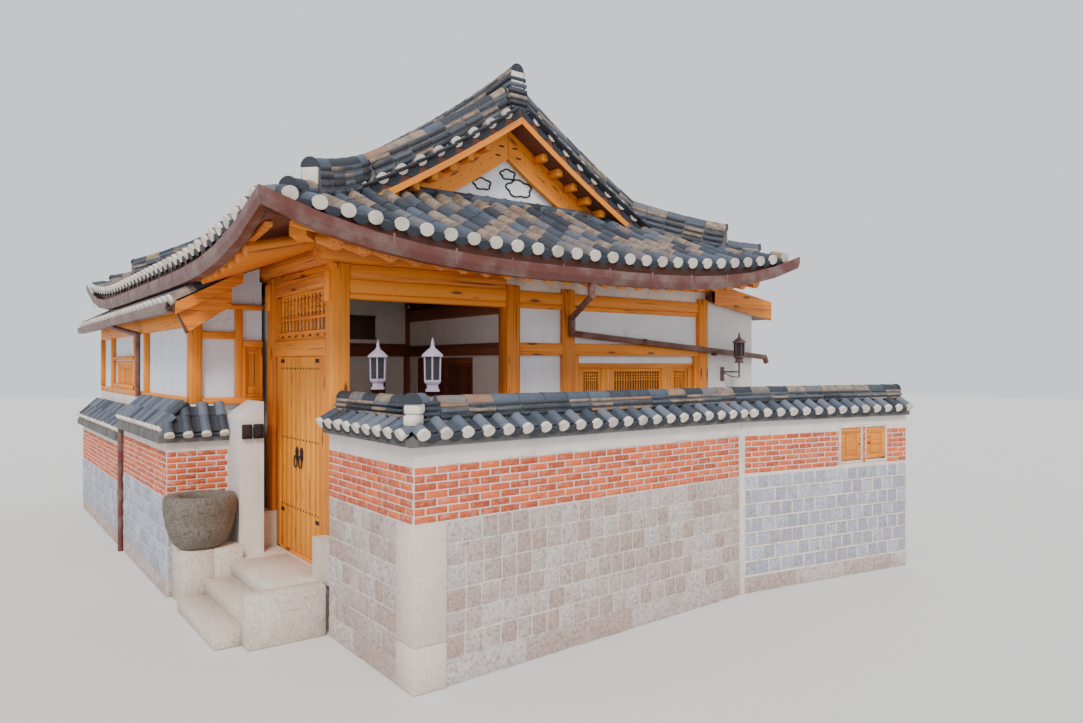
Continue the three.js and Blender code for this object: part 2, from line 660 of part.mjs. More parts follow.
const { x: baseX, y: baseY } = WING_BASE;
const studFace = WING.x + 60 - SEAM;
add('wing_base_wall', fuse([
  box(baseX, WING.x, baseY, WING_BASE.lowStart, FOOT, WING_BASE.top),
  box(baseX, WING.x, WING_BASE.lowStart, WING_BASE.end, FOOT, WING_BASE.lowTop),
  box(WING.x, studFace, WING.y, WING_BASE.end, FOOT, WING.sill - SEAM),
  box(WING.x, -300 - SEAM, WING.y, WING.y + 60 - SEAM, FOOT, WING.sill - SEAM),
  box(WING.x - 1, -300 - SEAM, baseY, WING.y + 60 - SEAM, FOOT, WING_BASE.top),
]), GRANITE);

function wingCopingOutline(bottom, head) {
  return [[-0.33, -10], [0, SEAM], [1, SEAM], [1, head], [0.85, head], [-0.33, 70]]
    .map(([a, z]) => [a, bottom + z]);
}

const wingInset = [WING.x - baseX - SEAM, WING.y - baseY - SEAM];
const wingHead = WING.sill - WING_BASE.top - SEAM;
const wingCopingFront = sweep(wingCopingOutline(WING_BASE.top, wingHead), [
  { at: [baseX, WING_BASE.step, 0], side: [wingInset[0], 0, 0], up: [0, 0, 1] },
  { at: [baseX, baseY, 0], side: [wingInset[0], wingInset[1], 0], up: [0, 0, 1] },
  { at: [-300 - SEAM, baseY, 0], side: [0, wingInset[1], 0], up: [0, 0, 1] },
]);
const wingCopingRear = sweep(wingCopingOutline(WING_BASE.lowTop, wingHead), [
  { at: [baseX, WING_BASE.end, 0], side: [wingInset[0], 0, 0], up: [0, 0, 1] },
  { at: [baseX, WING_BASE.step - 1, 0], side: [wingInset[0], 0, 0], up: [0, 0, 1] },
]);
const BASE_STEP_CUT = { out: 200, in: 100, before: 50, bottom: 900 };
const baseStep = box(
  baseX - BASE_STEP_CUT.out, WING.x + BASE_STEP_CUT.in, WING_BASE.step - BASE_STEP_CUT.before,
  WING_BASE.lowStart + SEAM, BASE_STEP_CUT.bottom, WING_BASE.top,
);
add('wing_coping', fuse([wingCopingFront, cut(wingCopingRear, [baseStep])]), TILE);

function gatePier() {
  const body = box(-300, -40, 3400, WING.y - SEAM, FOOT, 1770);
  const slope = plate([[-320, 1580], [-40, 1770], [-40, 1800], [-320, 1800]], 3380, WING.y + 20);
  return cut(body, [slope]);
}

add('gate_pier', gatePier(), PLASTER);

// Steps, plinth and basin

const [landingX, middleX, lowerX] = TREAD.nosings;
const landingEdge = [
  [landingX, TREAD.y0], [BODY.x0, TREAD.y0], [BODY.x0, WING.y - SEAM], [-40 + SEAM, WING.y - SEAM],
  [-40 + SEAM, 3400 - SEAM], [-300, 3400 - SEAM], [-300, TREAD.y1], [landingX, TREAD.y1],
];
add('gate_steps', fuse([
  prism(landingEdge, FOOT, LANDING_TOP),
  box(middleX, landingX, TREAD.y0, TREAD.y1, FOOT, LANDING_TOP - TREAD.rise),
  box(lowerX, middleX, TREAD.y0, TREAD.y1, FOOT, LANDING_TOP - 2 * TREAD.rise),
  box(-720, -20, 1670, TREAD.y0 + 1, FOOT, 160),
]), STEP_STONE);
add('basin_plinth', box(-880, -300 - SEAM, 3250, baseY - SEAM, FOOT, 270), STEP_STONE);

function stoneBasin() {
  const profile = [
    [200, 0], [290, 110], [345, 300], [360, 470], [352, 535], [300, 540], [280, 470], [230, 330],
    [150, 300],
  ];
  return moved(turned(profile, 20).scale(1, 0.92, 1), -680, 3470, 270 + SEAM);
}

add('stone_basin', stoneBasin(), BASIN_STONE);

// Gate

const postLeft = box(GATE_X, GATE_X + POST, GATE_LEFT_Y, GATE_LEFT_Y + POST, STONE_TOP + SEAM, BEAM.top);
const postRight = box(GATE_X, GATE_X + POST, GATE_RIGHT_Y, GATE_RIGHT_Y + POST, STONE_TOP + SEAM, BEAM.top);
const between = [GATE_RIGHT_Y + POST, GATE_LEFT_Y];
const stoneFoot = LANDING_TOP + SEAM;
add('post_stone_right', box(20, 340, WALL_PATH[0][1] + SEAM, 2120, stoneFoot, STONE_TOP), STEP_STONE);
add('post_stone_left', box(40, 340, 3690, 3940, LANDING_TOP + SEAM, STONE_TOP), STEP_STONE);
add('gate_frame', fuse([
  postLeft,
  postRight,
  box(GATE_X + 20, GATE_X + 150, between[0] - 5, between[1] + 5, HEAD_BEAM, BEAM.top),
  box(GATE_X + 20, GATE_X + 150, between[0] - 5, between[1] + 5, DOOR.head, LINTEL_TOP),
  box(190, 270, between[0] + 2, DOOR.y0, LANDING_TOP + SEAM, DOOR.head + 5),
  box(190, 270, DOOR.y1, between[1] - 32, LANDING_TOP + SEAM, DOOR.head + 5),
  box(190, 270, between[0] + 1, between[1] - 31, LANDING_TOP + SEAM, DOOR.sill),
  box(190, 270, between[1] - 60, between[1] + 5, STONE_TOP + SEAM, DOOR.head + 5),
]), PINE);

function gateTransom() {
  const [y0, y1] = [between[0] + SEAM, between[1] - SEAM];
  const [z0, z1] = [LINTEL_TOP + SEAM, HEAD_BEAM - SEAM];
  const rails = [[z0, z0 + 25], [2500, 2525], [2645, 2675], [z1 - 25, z1]].map(([a, b]) => (
    box(205, 255, y0, y1, a, b)
  ));
  const stiles = [y0, y1 - 60].map((y) => box(200, 260, y, y + 60, z0, z1));
  const count = 13;
  const balusters = Array.from({ length: count }, (_, i) => {
    const y = y0 + 60 + ((y1 - y0 - 120) * (i + 0.5)) / count;
    return box(215, 245, y - 15, y + 15, z0, z1);
  });
  return fuse([...rails, ...stiles, ...balusters]);
}

add('gate_transom', gateTransom(), LATTICE);

const doorMid = (DOOR.y0 + DOOR.y1) / 2;
const leafEdge = DOOR.y1 - DOOR.gap;
const pivot = { x: DOOR.x1 - DOOR.pivotInset, y: leafEdge - DOOR.pivotInset };

function gateLeafLeft() {
  const { x0, x1, sill, head } = DOOR;
  return fuse([
    box(x0, x1, doorMid + DOOR.meeting, leafEdge, sill + 5, head - 5),
    bar([pivot.x, pivot.y, sill + SEAM], [pivot.x, pivot.y, head - SEAM], 6, 8),
    box(x0 - 8, x0 + 1, doorMid + 40, doorMid + 130, 1190, 1290),
    box(x0 - 22, x0 - 7, doorMid + 60, doorMid + 110, 1205, 1235),
  ]);
}

const leftLeaf = gateLeafLeft();
add('gate_leaf_left', leftLeaf, PINE);
add('gate_leaf_right', mirrored(leftLeaf, 1, doorMid), PINE);

// House walls and their timber

const frontRails = [[FRONT_POSTS[0] + POST, FRONT_POSTS[1]], [FRONT_POSTS[1] + POST, FRONT_POSTS[2]]];
add('front_frame', fuse([
  ...FRONT_POSTS.map((x) => box(x, x + POST, BODY.y0, BODY.y0 + POST, LANDING_TOP + SEAM, BEAM.top - 100)),
  box(GATE_X + POST + SEAM, BODY.x1, BODY.y0 + 20, BODY.y0 + 160, BEAM.bottom, BEAM.top),
  ...frontRails.flatMap(([a, b]) => [[RAIL.bottom, RAIL.top], [900, 1020]].map(([z0, z1]) => (
    box(a - 5, b + 5, BODY.y0 + 15, BODY.y0 + 60 - SEAM, z0, z1)
  ))),
]), PINE);
const [panelFrom, windowFrom] = frontRails.map(([a]) => a + SEAM);
const [panelTo, windowTo] = frontRails.map(([, b]) => b - SEAM);
const plateY = [BODY.y0 + 60, BODY.y0 + 150];
add('front_panel', box(panelFrom, panelTo, ...plateY, LANDING_TOP + SEAM, BEAM.bottom - SEAM), PLASTER);
const { x0: winX0, x1: winX1, bottom: winZ0, top: winZ1 } = FRONT_WINDOW;
add('window_wall', cut(
  box(windowFrom, windowTo, ...plateY, LANDING_TOP + SEAM, BEAM.bottom - SEAM),
  [box(winX0, winX1, BODY.y0, BODY.y0 + 300, winZ0, winZ1)],
), PLASTER);

// A closed window: a frame with shallow panes sunk into both of its faces, lying along X.
function windowUnit(length, height, panes, thickness = 80) {
  const body = box(SEAM, length - SEAM, 0, thickness, SEAM, height - SEAM);
  const rim = 70;
  const sunk = [[-5, 20], [thickness - 20, thickness + 5]];
  const recesses = panes.flatMap(([from, to]) => sunk.map(([y0, y1]) => (
    box(from, to, y0, y1, rim, height - rim)
  )));
  return cut(body, recesses);
}

add('front_window', moved(
  windowUnit(winX1 - winX0, winZ1 - winZ0, [[75, 373], [568, 1417], [1619, 1900]]),
  winX0, BODY.y0 + 50, winZ0,
), LATTICE);

const sideX = [5300, 5400];
const rightWindow = { from: 5200, to: 6700, z0: 1000, z1: 2190 };
add('right_wall', cut(
  box(...sideX, BODY.y0 + POST + SEAM, BODY.y1 - POST - SEAM, LANDING_TOP + SEAM, BEAM.bottom - SEAM),
  [box(5200, 5500, rightWindow.from, rightWindow.to, rightWindow.z0, rightWindow.z1)],
), PLASTER);
const crossways = (unit, x, y, z) => moved(unit.rotateZ(Math.PI / 2), x, y, z);
add('right_window', crossways(
  windowUnit(rightWindow.to - rightWindow.from, rightWindow.z1 - rightWindow.z0, [[75, 700], [800, 1425]]),
  sideX[1] - 10, rightWindow.from, rightWindow.z0,
), LATTICE);
const backY = [BODY.y1 - 150, BODY.y1 - 60];
const backWindow = { from: 1950, to: 3450, z0: 1000, z1: 2190 };
add('back_wall', cut(
  box(WING.x + 140, 5270 - SEAM, ...backY, LANDING_TOP + SEAM, BEAM.bottom - SEAM),
  [box(backWindow.from, backWindow.to, 9900, 10200, backWindow.z0, backWindow.z1)],
), PLASTER);
add('back_window', moved(
  windowUnit(backWindow.to - backWindow.from, backWindow.z1 - backWindow.z0, [[75, 700], [800, 1425]]),
  backWindow.from, backY[0] + 5, backWindow.z0,
), LATTICE);

const rightPosts = [4100, 7000, BODY.y1 - POST];
const backPosts = [-200, 2500, 5270];
add('rear_frame', fuse([
  ...rightPosts.map((y) => box(sideX[1] + SEAM, BODY.x1, y, y + POST, LANDING_TOP + SEAM, BEAM.bottom + 5)),
  ...backPosts.map((x) => box(x, x + POST, backY[1] + SEAM, BODY.y1, LANDING_TOP + SEAM, BEAM.bottom + 5)),
  box(5290, 5430, BODY.y0 + POST + SEAM, BODY.y1 - 20, BEAM.bottom, BEAM.top),
  box(-200, 5430, BODY.y1 - 160, BODY.y1 - 20, BEAM.bottom, BEAM.top),
  box(sideX[1] + SEAM, BODY.x1 - 5, 2200, BODY.y1 - 5, RAIL.bottom, RAIL.top),
  box(-480, BODY.x1 - 5, backY[1] + SEAM, BODY.y1 - 5, RAIL.bottom, RAIL.top),
]), PINE);

// Hall: the covered space inside the gate

const hallBeam = [2745, 2900];
add('hall_frame', fuse([
  box(2160, 2340, 4360, 4540, LANDING_TOP + SEAM, hallBeam[1]),
  box(2180, 2320, BODY.y0 + POST + SEAM, 4365, ...hallBeam),
  box(2165, 2215 - SEAM, BODY.y0 + POST + SEAM, 4365, RAIL.bottom, RAIL.top),
  box(GATE_X + POST + SEAM, 2165, 4380, 4440 - SEAM, RAIL.bottom, RAIL.top + 30),
  box(GATE_X + POST + SEAM, 2165, 4380, 4440 - SEAM, ...hallBeam),
  box(1690, 1870, 4380, 4440 - SEAM, LANDING_TOP + SEAM, hallBeam[1]),
]), DARK_PINE);
const hallDoor = { from: 2750, to: 4150, top: RAIL.bottom - 20 };
add('hall_side_wall', cut(
  box(2215, 2285, BODY.y0 + POST + SEAM, 4360 - SEAM, LANDING_TOP + SEAM, hallBeam[0] - SEAM),
  [box(2100, 2400, hallDoor.from, hallDoor.to, 0, hallDoor.top)],
), PLASTER);
add('hall_door', crossways(
  windowUnit(hallDoor.to - hallDoor.from, hallDoor.top - LANDING_TOP, [[75, 660], [740, 1325]], 60),
  2280, hallDoor.from, LANDING_TOP,
), DARK_PINE);
add('hall_back_wall', fuse([
  box(200, 2160 - SEAM, 4440, 4510, LANDING_TOP + SEAM, hallBeam[1]),
  box(200, 280, GATE_LEFT_Y + POST + 45, 4445, LANDING_TOP + SEAM, hallBeam[1]),
]), PLASTER);

// Wing: plaster panels between studs, two lattice windows, a lean-to roof with its verge board

function wingRoofTop(x) {
  return WING_ROOF.eave + WING_ROOF.pitch * (x - WING_ROOF.x0);
}

const wingBack = [WING.x + 60, WING.x + 140];
const wingFront = [WING.y + 60, WING.y + 130];
const sideWindow = { from: 7420, to: 9180, z0: 1480, z1: 2230 };
const gateWindow = { x0: -85, x1: 135, z0: 1800, z1: 2360 };
const wingUnder = (x) => wingRoofTop(x) - WING_ROOF.thickness;
add('wing_panels', cut(fuse([
  box(...wingBack, wingFront[0], WING.y1, FOOT, WING.plate - SEAM),
  plate([
    [wingBack[0], FOOT], [140, FOOT], [140, 3130], [115, 3130], [115, 3290], [WING_ROOF.x1 + SEAM, 3150],
    [WING_ROOF.x1 + SEAM, wingUnder(WING_ROOF.x1)], [wingBack[1] + SEAM, wingUnder(wingBack[1]) - SEAM],
    [wingBack[1] + SEAM, WING.plate - SEAM], [wingBack[0], WING.plate - SEAM],
  ], ...wingFront),
]), [
  box(-800, -400, sideWindow.from, sideWindow.to, sideWindow.z0, sideWindow.z1),
  box(gateWindow.x0, gateWindow.x1 + 20, 3900, 4300, gateWindow.z0, gateWindow.z1),
]), PLASTER);
const SIDE_PANES = [[70, 380], [470, 1300], [1380, 1690]];
add('wing_window_side', crossways(
  windowUnit(sideWindow.to - sideWindow.from, sideWindow.z1 - sideWindow.z0, SIDE_PANES, 70),
  wingBack[1], sideWindow.from, sideWindow.z0,
), LATTICE);
add('wing_frame', fuse([
  ...WING_POSTS.map((y) => box(WING.x, wingBack[0] - SEAM, y, y + 90, WING.sill, WING.plate + 5)),
  box(WING.x, wingBack[0] - SEAM, WING.y, WING.y1, WING.sill, WING.sillTop),
  box(WING.x, wingBack[1], WING.y, WING.y1, WING.plate, wingUnder(WING.x) - SEAM),
  ...[[WING.x, -570], [-170, -90]].map(([a, b]) => (
    box(a, b, WING.y, wingFront[0] - SEAM, WING.sill, wingUnder(a) - SEAM)
  )),
  box(WING.x, 140, WING.y + 5, wingFront[0] - SEAM, WING.sill, WING.sillTop),
  box(-575, 140, WING.y + 5, wingFront[0] - SEAM, 2800, 2860),
  box(-95, 140, WING.y + 5, wingFront[0] - SEAM, 2370, 2450),
  ...[[gateWindow.x0 - 10, gateWindow.x0 + 35], [gateWindow.x1 - 35, gateWindow.x1]].map(([a, b]) => (
    box(a, b, WING.y + 10, wingFront[0] - SEAM, WING.sillTop - 5, 2375)
  )),
]), PINE);

function wingRoof() {
  const { x0, x1, y0, y1, thickness } = WING_ROOF;
  const slab = plate([
    [x0, wingRoofTop(x0) - thickness], [x1, wingRoofTop(x1) - thickness], [x1, wingRoofTop(x1)],
    [x0, wingRoofTop(x0)],
  ], y0, y1);
  const board = plate([
    [x0, wingRoofTop(x0) - 60], [x0 + 120, wingRoofTop(x0) - 330], [x1 - 60, wingRoofTop(x1) - 350],
    [x1 - 60, wingRoofTop(x1) - 60],
  ], y0 + 30, y0 + 80);
  return fuse([slab, board]);
}

add('wing_roof', wingRoof(), TILE);

// Side room on the right, under its own low roof and end board

function slopedEnd(x0, x1, top, depth, y0, y1) {
  const line = (x) => top + SIDE_ROOF.pitch * (x - SIDE_ROOF.x0);
  return plate([[x0, line(x0) - depth], [x1, line(x1) - depth], [x1, line(x1)], [x0, line(x0)]], y0, y1);
}

const sideUnder = (x) => (
  SIDE_ROOF.top - SIDE_ROOF.thickness - SEAM + SIDE_ROOF.pitch * (x - SIDE_ROOF.x0)
);
const sideCheeks = [SIDE_ROOM.y0, SIDE_ROOM.y1 - SIDE_ROOM.wall].map((y) => plate([
  [BODY.x1 + SEAM, FOOT], [SIDE_ROOM.x1, FOOT], [SIDE_ROOM.x1, sideUnder(SIDE_ROOM.x1)],
  [BODY.x1 + SEAM, sideUnder(BODY.x1)],
], y, y + SIDE_ROOM.wall));
add('side_room_wall', fuse([
  ...sideCheeks,
  box(
    SIDE_ROOM.x1 - SIDE_ROOM.wall, SIDE_ROOM.x1, SIDE_ROOM.y0 + 5, SIDE_ROOM.y1 - 5,
    FOOT, sideUnder(SIDE_ROOM.x1),
  ),
]), PLASTER);

add('side_roof', fuse([
  slopedEnd(
    SIDE_ROOF.x0, SIDE_ROOF.x1, SIDE_ROOF.top, SIDE_ROOF.thickness, SIDE_BOARD.y1 - 2, SIDE_ROOF.y1,
  ),
  slopedEnd(SIDE_BOARD.x0, SIDE_ROOF.x1, SIDE_BOARD.top, SIDE_BOARD.depth, SIDE_BOARD.y0, SIDE_BOARD.y1),
]), PINE);

// House base and floor

add('house_base', prism([
  [BODY.x0 + SEAM, 2125], [340 + SEAM, 2125], [340 + SEAM, 1880], [BODY.x1 - SEAM, 1880],
  [BODY.x1 - SEAM, BODY.y1], [wingBack[1] + SEAM, BODY.y1], [wingBack[1] + SEAM, wingFront[1] + SEAM],
  [BODY.x0 + SEAM, wingFront[1] + SEAM],
], FOOT, LANDING_TOP), STEP_STONE);

// Lanterns

function lantern(x, y, z) {
  const profile = [
    [55, 0], [55, 14], [18, 24], [16, 60], [62, 80], [70, 90], [76, 270], [92, 285], [40, 330], [20, 345],
    [12, 400], [6, 420],
  ];
  return moved(turned(profile, 8), x, y, z);
}

const copingTop = WALL_TOP + COPING.height + SEAM;
add('lantern_gate', lantern(150, 940, copingTop), IRON);
add('lantern_corner', lantern(250, 168, copingTop), IRON);
add('lantern_side', fuse([
  lantern(5760, 1670, 2195),
  bar([5760, 1670, 2000], [5760, 1670, 2240], 14),
  bar([5760, 1655, 2075], [5760, 1960, 2075], 12),
  box(5725, 5795, 1955, SIDE_ROOM.y0 - SEAM, 1950, 2140),
]), IRON);

// The part's origin is the middle of its footprint, at the level of its foot
site.updateMatrixWorld(true);
const bounds = new THREE.Box3().setFromObject(site, true);
const middle = bounds.getCenter(new THREE.Vector3());
site.position.set(-middle.x, -middle.y, -bounds.min.z);

export default site;
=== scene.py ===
"""Tiled timber house on a street corner, with its garden wall and gate, dressed for rendering.

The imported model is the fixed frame. The classes and tables below make the visible work of its sub-assemblies.
Places are site metres: X runs to the right along the street wall, Y away from it, Z up.
"""

import logging
import math
import random
from dataclasses import dataclass, field
from enum import Enum
from typing import Callable, Iterable, Sequence

import bpy
import numpy as np
from mathutils import Matrix, Vector

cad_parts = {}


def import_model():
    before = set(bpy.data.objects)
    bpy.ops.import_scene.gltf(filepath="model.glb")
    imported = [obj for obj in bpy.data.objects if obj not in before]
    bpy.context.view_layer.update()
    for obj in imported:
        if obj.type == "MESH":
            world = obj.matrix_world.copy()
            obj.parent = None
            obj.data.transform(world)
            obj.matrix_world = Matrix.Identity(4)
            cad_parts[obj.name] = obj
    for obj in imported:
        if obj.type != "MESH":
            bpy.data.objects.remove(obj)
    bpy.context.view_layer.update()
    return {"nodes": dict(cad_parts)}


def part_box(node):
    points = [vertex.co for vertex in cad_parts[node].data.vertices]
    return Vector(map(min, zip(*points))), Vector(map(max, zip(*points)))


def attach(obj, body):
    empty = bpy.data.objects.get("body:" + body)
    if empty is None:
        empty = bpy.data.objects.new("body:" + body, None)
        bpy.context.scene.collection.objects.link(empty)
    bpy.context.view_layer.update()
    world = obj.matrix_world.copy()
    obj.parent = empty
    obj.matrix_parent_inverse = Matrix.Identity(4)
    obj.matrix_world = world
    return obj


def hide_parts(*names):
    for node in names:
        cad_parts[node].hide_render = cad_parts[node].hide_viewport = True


LOG = logging.getLogger("house")
SEED = 1907
SITE_BOTTOM = -0.3
UP = np.array([0.0, 0.0, 1.0])

Color = tuple[float, float, float, float]
Point = Sequence[float]
Face = tuple[int, ...]
Pair = tuple[float, float]
Triple = tuple[float, float, float]
Four = tuple[float, float, float, float]
Box = tuple[float, float, float, float, float, float]
Socket = bpy.types.NodeSocket
Tree = bpy.types.NodeTree
Material = bpy.types.Material


def srgb(red: int, green: int, blue: int) -> Color:
    """Turns a colour of the 0 to 255 scale into linear light.

    Args:
        red: Red, 0 to 255.
        green: Green, 0 to 255.
        blue: Blue, 0 to 255.

    Returns:
        The colour with full opacity.
    """
    parts = [v / 255 for v in (red, green, blue)]
    linear = [v / 12.92 if v <= 0.04045 else ((v + 0.055) / 1.055) ** 2.4 for v in parts]
    return (linear[0], linear[1], linear[2], 1.0)


def unit(vector: Point) -> np.ndarray:
    """Returns the vector with length one."""
    array = np.asarray(vector, float)
    return array / np.linalg.norm(array)


def turn(count: int) -> list[float]:
    """Returns the angles of evenly spaced points on a circle."""
    return [2 * math.pi * k / count for k in range(count)]


def bends(path: Sequence[Point]) -> list[tuple[np.ndarray, np.ndarray, np.ndarray]]:
    """Returns each point of a path with the directions before and after it."""
    ways = [unit(np.subtract(b, a)) for a, b in zip(path, path[1:])]
    return list(zip([np.asarray(p, float) for p in path], ways[:1] + ways, ways + ways[-1:]))


def upright(centre: Point, side: Point, low: float, high: float) -> np.ndarray:
    """Returns the corners of an upright rectangle."""
    corners = ((-1, low), (1, low), (1, high), (-1, high))
    return np.array([[centre[0] + sign * side[0], centre[1] + sign * side[1], z] for sign, z in corners])


def stand(name: str, data: bpy.types.ID) -> bpy.types.Object:
    """Makes an object and links it to the scene.

    Args:
        name: Its name.
        data: Its mesh, camera or light.

    Returns:
        The object.
    """
    thing = bpy.data.objects.new(name, data)
    bpy.context.scene.collection.objects.link(thing)
    return thing


# --- Meshes ---


@dataclass(frozen=True)
class Template:
    """A small closed form that is placed many times.

    Attributes:
        points: Corner points, one row each, in the form's own axes.
        faces: Corner numbers of each face.
        smooth: Whether the faces are shaded smooth.
    """

    points: np.ndarray
    faces: tuple[Face, ...]
    smooth: bool = False


def prism(outline: Sequence[Point], length: float, taper: float = 1.0, smooth: bool = False) -> Template:
    """Makes a closed bar whose cross-section is an outline in Y and Z.

    Args:
        outline: Cross-section points, anticlockwise seen from the far end.
        length: Length along X, from 0.
        taper: Size of the far cross-section against the near one.
        smooth: Whether it is shaded smooth.

    Returns:
        The bar.
    """
    near = np.array([[0.0, y, z] for y, z in outline])
    far = np.array([[length, y * taper, z * taper] for y, z in outline])
    n = len(outline)
    sides = [(i, (i + 1) % n, n + (i + 1) % n, n + i) for i in range(n)]
    caps = [tuple(range(n))[::-1], tuple(range(n, 2 * n))]
    return Template(np.vstack([near, far]), tuple([tuple(reversed(f)) for f in sides + caps]), smooth)


def block(low: Point, high: Point, bevel: float) -> Template:
    """Makes a box with bevelled edges.

    Args:
        low: Lowest corner.
        high: Highest corner.
        bevel: Width of the bevel.

    Returns:
        The box.
    """
    lo, hi = np.asarray(low, float), np.asarray(high, float)
    b = min(bevel, 0.3 * float((hi - lo).min()))
    points, index = [], {}
    for corner in range(8):
        signs = [(corner >> axis) & 1 for axis in range(3)]
        for axis in range(3):
            p = [hi[k] - b if signs[k] else lo[k] + b for k in range(3)]
            p[axis] = hi[axis] if signs[axis] else lo[axis]
            index[(corner, axis)] = len(points)
            points.append(p)
    faces: list[Face] = []
    for axis in range(3):
        u, v = (axis + 1) % 3, (axis + 2) % 3
        for side in (0, 1):
            ring = [(0, 0), (1, 0), (1, 1), (0, 1)]
            face = [index[((side << axis) | (i << u) | (j << v), axis)] for i, j in ring]
            faces.append(tuple(face if side else face[::-1]))
        for i in (0, 1):
            for j in (0, 1):
                a = (i << u) | (j << v)
                c = a | (1 << axis)
                face = [index[(a, u)], index[(c, u)], index[(c, v)], index[(a, v)]]
                faces.append(tuple(face if i != j else face[::-1]))
    for corner in range(8):
        face = [index[(corner, axis)] for axis in range(3)]
        odd = bin(corner).count("1") % 2
        faces.append(tuple(face if odd else face[::-1]))
    return Template(np.array(points), tuple(faces))


class Shape:
    """Gathers the faces of one piece in site metres, then makes its object.

    Attributes:
        shift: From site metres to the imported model's.
        palette: The materials by name.
    """

    shift = np.zeros(3)
    palette: dict[str, Material] = {}

    def __init__(self, name: str) -> None:
        """Starts an empty piece with its own random values.

        Args:
            name: Name of the object.
        """
        self.name = name
        self.random = random.Random(f"{name}-{SEED}")
        self.points: list[np.ndarray] = []
        self.grain: list[np.ndarray] = []
        self.tones: list[np.ndarray] = []
        self.faces: list[Face] = []
        self.slots: list[int] = []
        self.smooth: list[bool] = []
        self.count = 0

    def add(self, points: np.ndarray, faces: Iterable[Face], grain: np.ndarray | None = None,
            tone: float | None = None, slot: int = 0, smooth: bool = False) -> None:
        """Adds one closed form.

        Args:
            points: Points in site metres.
            faces: Corner numbers of each face, outward.
            grain: Coordinates that the finish follows, one row a point. The points if not given.
            tone: Shade of this form, 0 to 1. Random if not given.
            slot: Number of the finish.
            smooth: Whether it is shaded smooth.
        """
        pts = np.asarray(points, float)
        offset = np.array([self.random.uniform(0, 40) for _ in range(3)])
        shade = self.random.random() if tone is None else tone
        self.points.append(pts)
        self.grain.append((pts if grain is None else grain) + offset)
        self.tones.append(np.full(len(pts), shade))
        start = self.count
        new = [tuple(start + i for i in face) for face in faces]
        self.faces.extend(new)
        self.slots.extend([slot] * len(new))
        self.smooth.extend([smooth] * len(new))
        self.count += len(pts)

    def place(self, form: Template, origin: Point, along: Point, side: Point, up: Point,
              tone: float | None = None, slot: int = 0, scale: Point = (1, 1, 1)) -> None:
        """Places a template with its X, Y and Z axes along three given directions.

        Args:
            form: The template.
            origin: Where its origin goes.
            along: Direction of its X axis.
            side: Direction of its Y axis.
            up: Direction of its Z axis.
            tone: Shade, 0 to 1.
            slot: Number of the finish.
            scale: Size on its own three axes.
        """
        local = form.points * np.asarray(scale, float)
        basis = np.array([along, side, up], float)
        self.add(local @ basis + np.asarray(origin, float), form.faces, local, tone, slot, form.smooth)

    def beam(self, low: Point, high: Point, bevel: float = 0.006, tone: float | None = None,
             slot: int = 0, axis: int | None = None) -> None:
        """Adds a bevelled bar between two corners, its grain along its longest side.

        Args:
            low: Lowest corner.
            high: Highest corner.
            bevel: Width of the bevel.
            tone: Shade, 0 to 1.
            slot: Number of the finish.
            axis: Grain axis, if it isn't the longest.
        """
        form = block(low, high, bevel)
        size = np.asarray(high, float) - np.asarray(low, float)
        main = int(size.argmax()) if axis is None else axis
        order = [main, (main + 1) % 3, (main + 2) % 3]
        grain = form.points[:, order] - np.asarray(low, float)[order]
        self.add(form.points, form.faces, grain, tone, slot)

    def loft(self, sections: Sequence[np.ndarray], tone: float | None = None, slot: int = 0,
             smooth: bool = False, grain: np.ndarray | None = None, closed: bool = False) -> None:
        """Adds a skin over equal sections, with flat ends.

        Args:
            sections: Closed outlines with equal point counts, in order.
            tone: Shade, 0 to 1.
            slot: Number of the finish.
            smooth: Whether it is shaded smooth.
            grain: Coordinates that the finish follows.
            closed: Whether the last section joins the first.
        """
        n, m = len(sections[0]), len(sections)
        faces: list[Face] = []
        for k in range(m if closed else m - 1):
            a, b = k * n, ((k + 1) % m) * n
            faces += [(a + i, a + (i + 1) % n, b + (i + 1) % n, b + i) for i in range(n)]
        if not closed:
            faces += [tuple(range(n))[::-1], tuple(range((m - 1) * n, m * n))]
        self.add(np.vstack(sections), faces, grain, tone, slot, smooth)

    def log(self, path: Sequence[Point], radius: float, sides: int, slot: int = 0) -> None:
        """Adds a round log or pipe along a path.

        Args:
            path: Points of the centre line.
            radius: Its radius.
            sides: How many sides it has.
            slot: Number of the finish.
        """
        rings, grains, run, last = [], [], 0.0, None
        for p, before, after in bends(path):
            run += 0.0 if last is None else float(np.linalg.norm(p - last))
            last = p
            axis = unit(before + after)
            reference = np.array([0.31, 0.17, 1.0]) if abs(axis[2]) < 0.8 else np.array([1.0, 0.2, 0.1])
            right = unit(np.cross(axis, reference))
            top = np.cross(axis, right)
            stretch = 1 / max(0.5, float(axis @ before))
            ring, grain = [], []
            for angle in turn(sides):
                y, z = radius * math.cos(angle), radius * math.sin(angle)
                ring.append(p + (right * y + top * z) * stretch)
                grain.append([run, y, z])
            rings.append(np.array(ring))
            grains.append(np.array(grain))
        self.loft(rings, slot=slot, smooth=True, grain=np.vstack(grains))
        self.smooth[-1] = self.smooth[-2] = False

    def lathe(self, centre: Point, profile: Sequence[Point], sides: int, tone: float | None = None,
              slot: int = 0, smooth: bool = True) -> None:
        """Adds a turned form round an upright axis.

        Args:
            centre: Point at the foot of the axis.
            profile: Radius and height of each ring, from the foot up.
            sides: How many sides it has.
            tone: Shade, 0 to 1.
            slot: Number of the finish.
            smooth: Whether it is shaded smooth.
        """
        base = np.asarray(centre, float)
        rings = [base + np.array([[r * math.cos(a), r * math.sin(a), z] for a in turn(sides)]) for r, z in profile]
        self.loft(rings, tone, slot, smooth)
        self.smooth[-1] = self.smooth[-2] = False

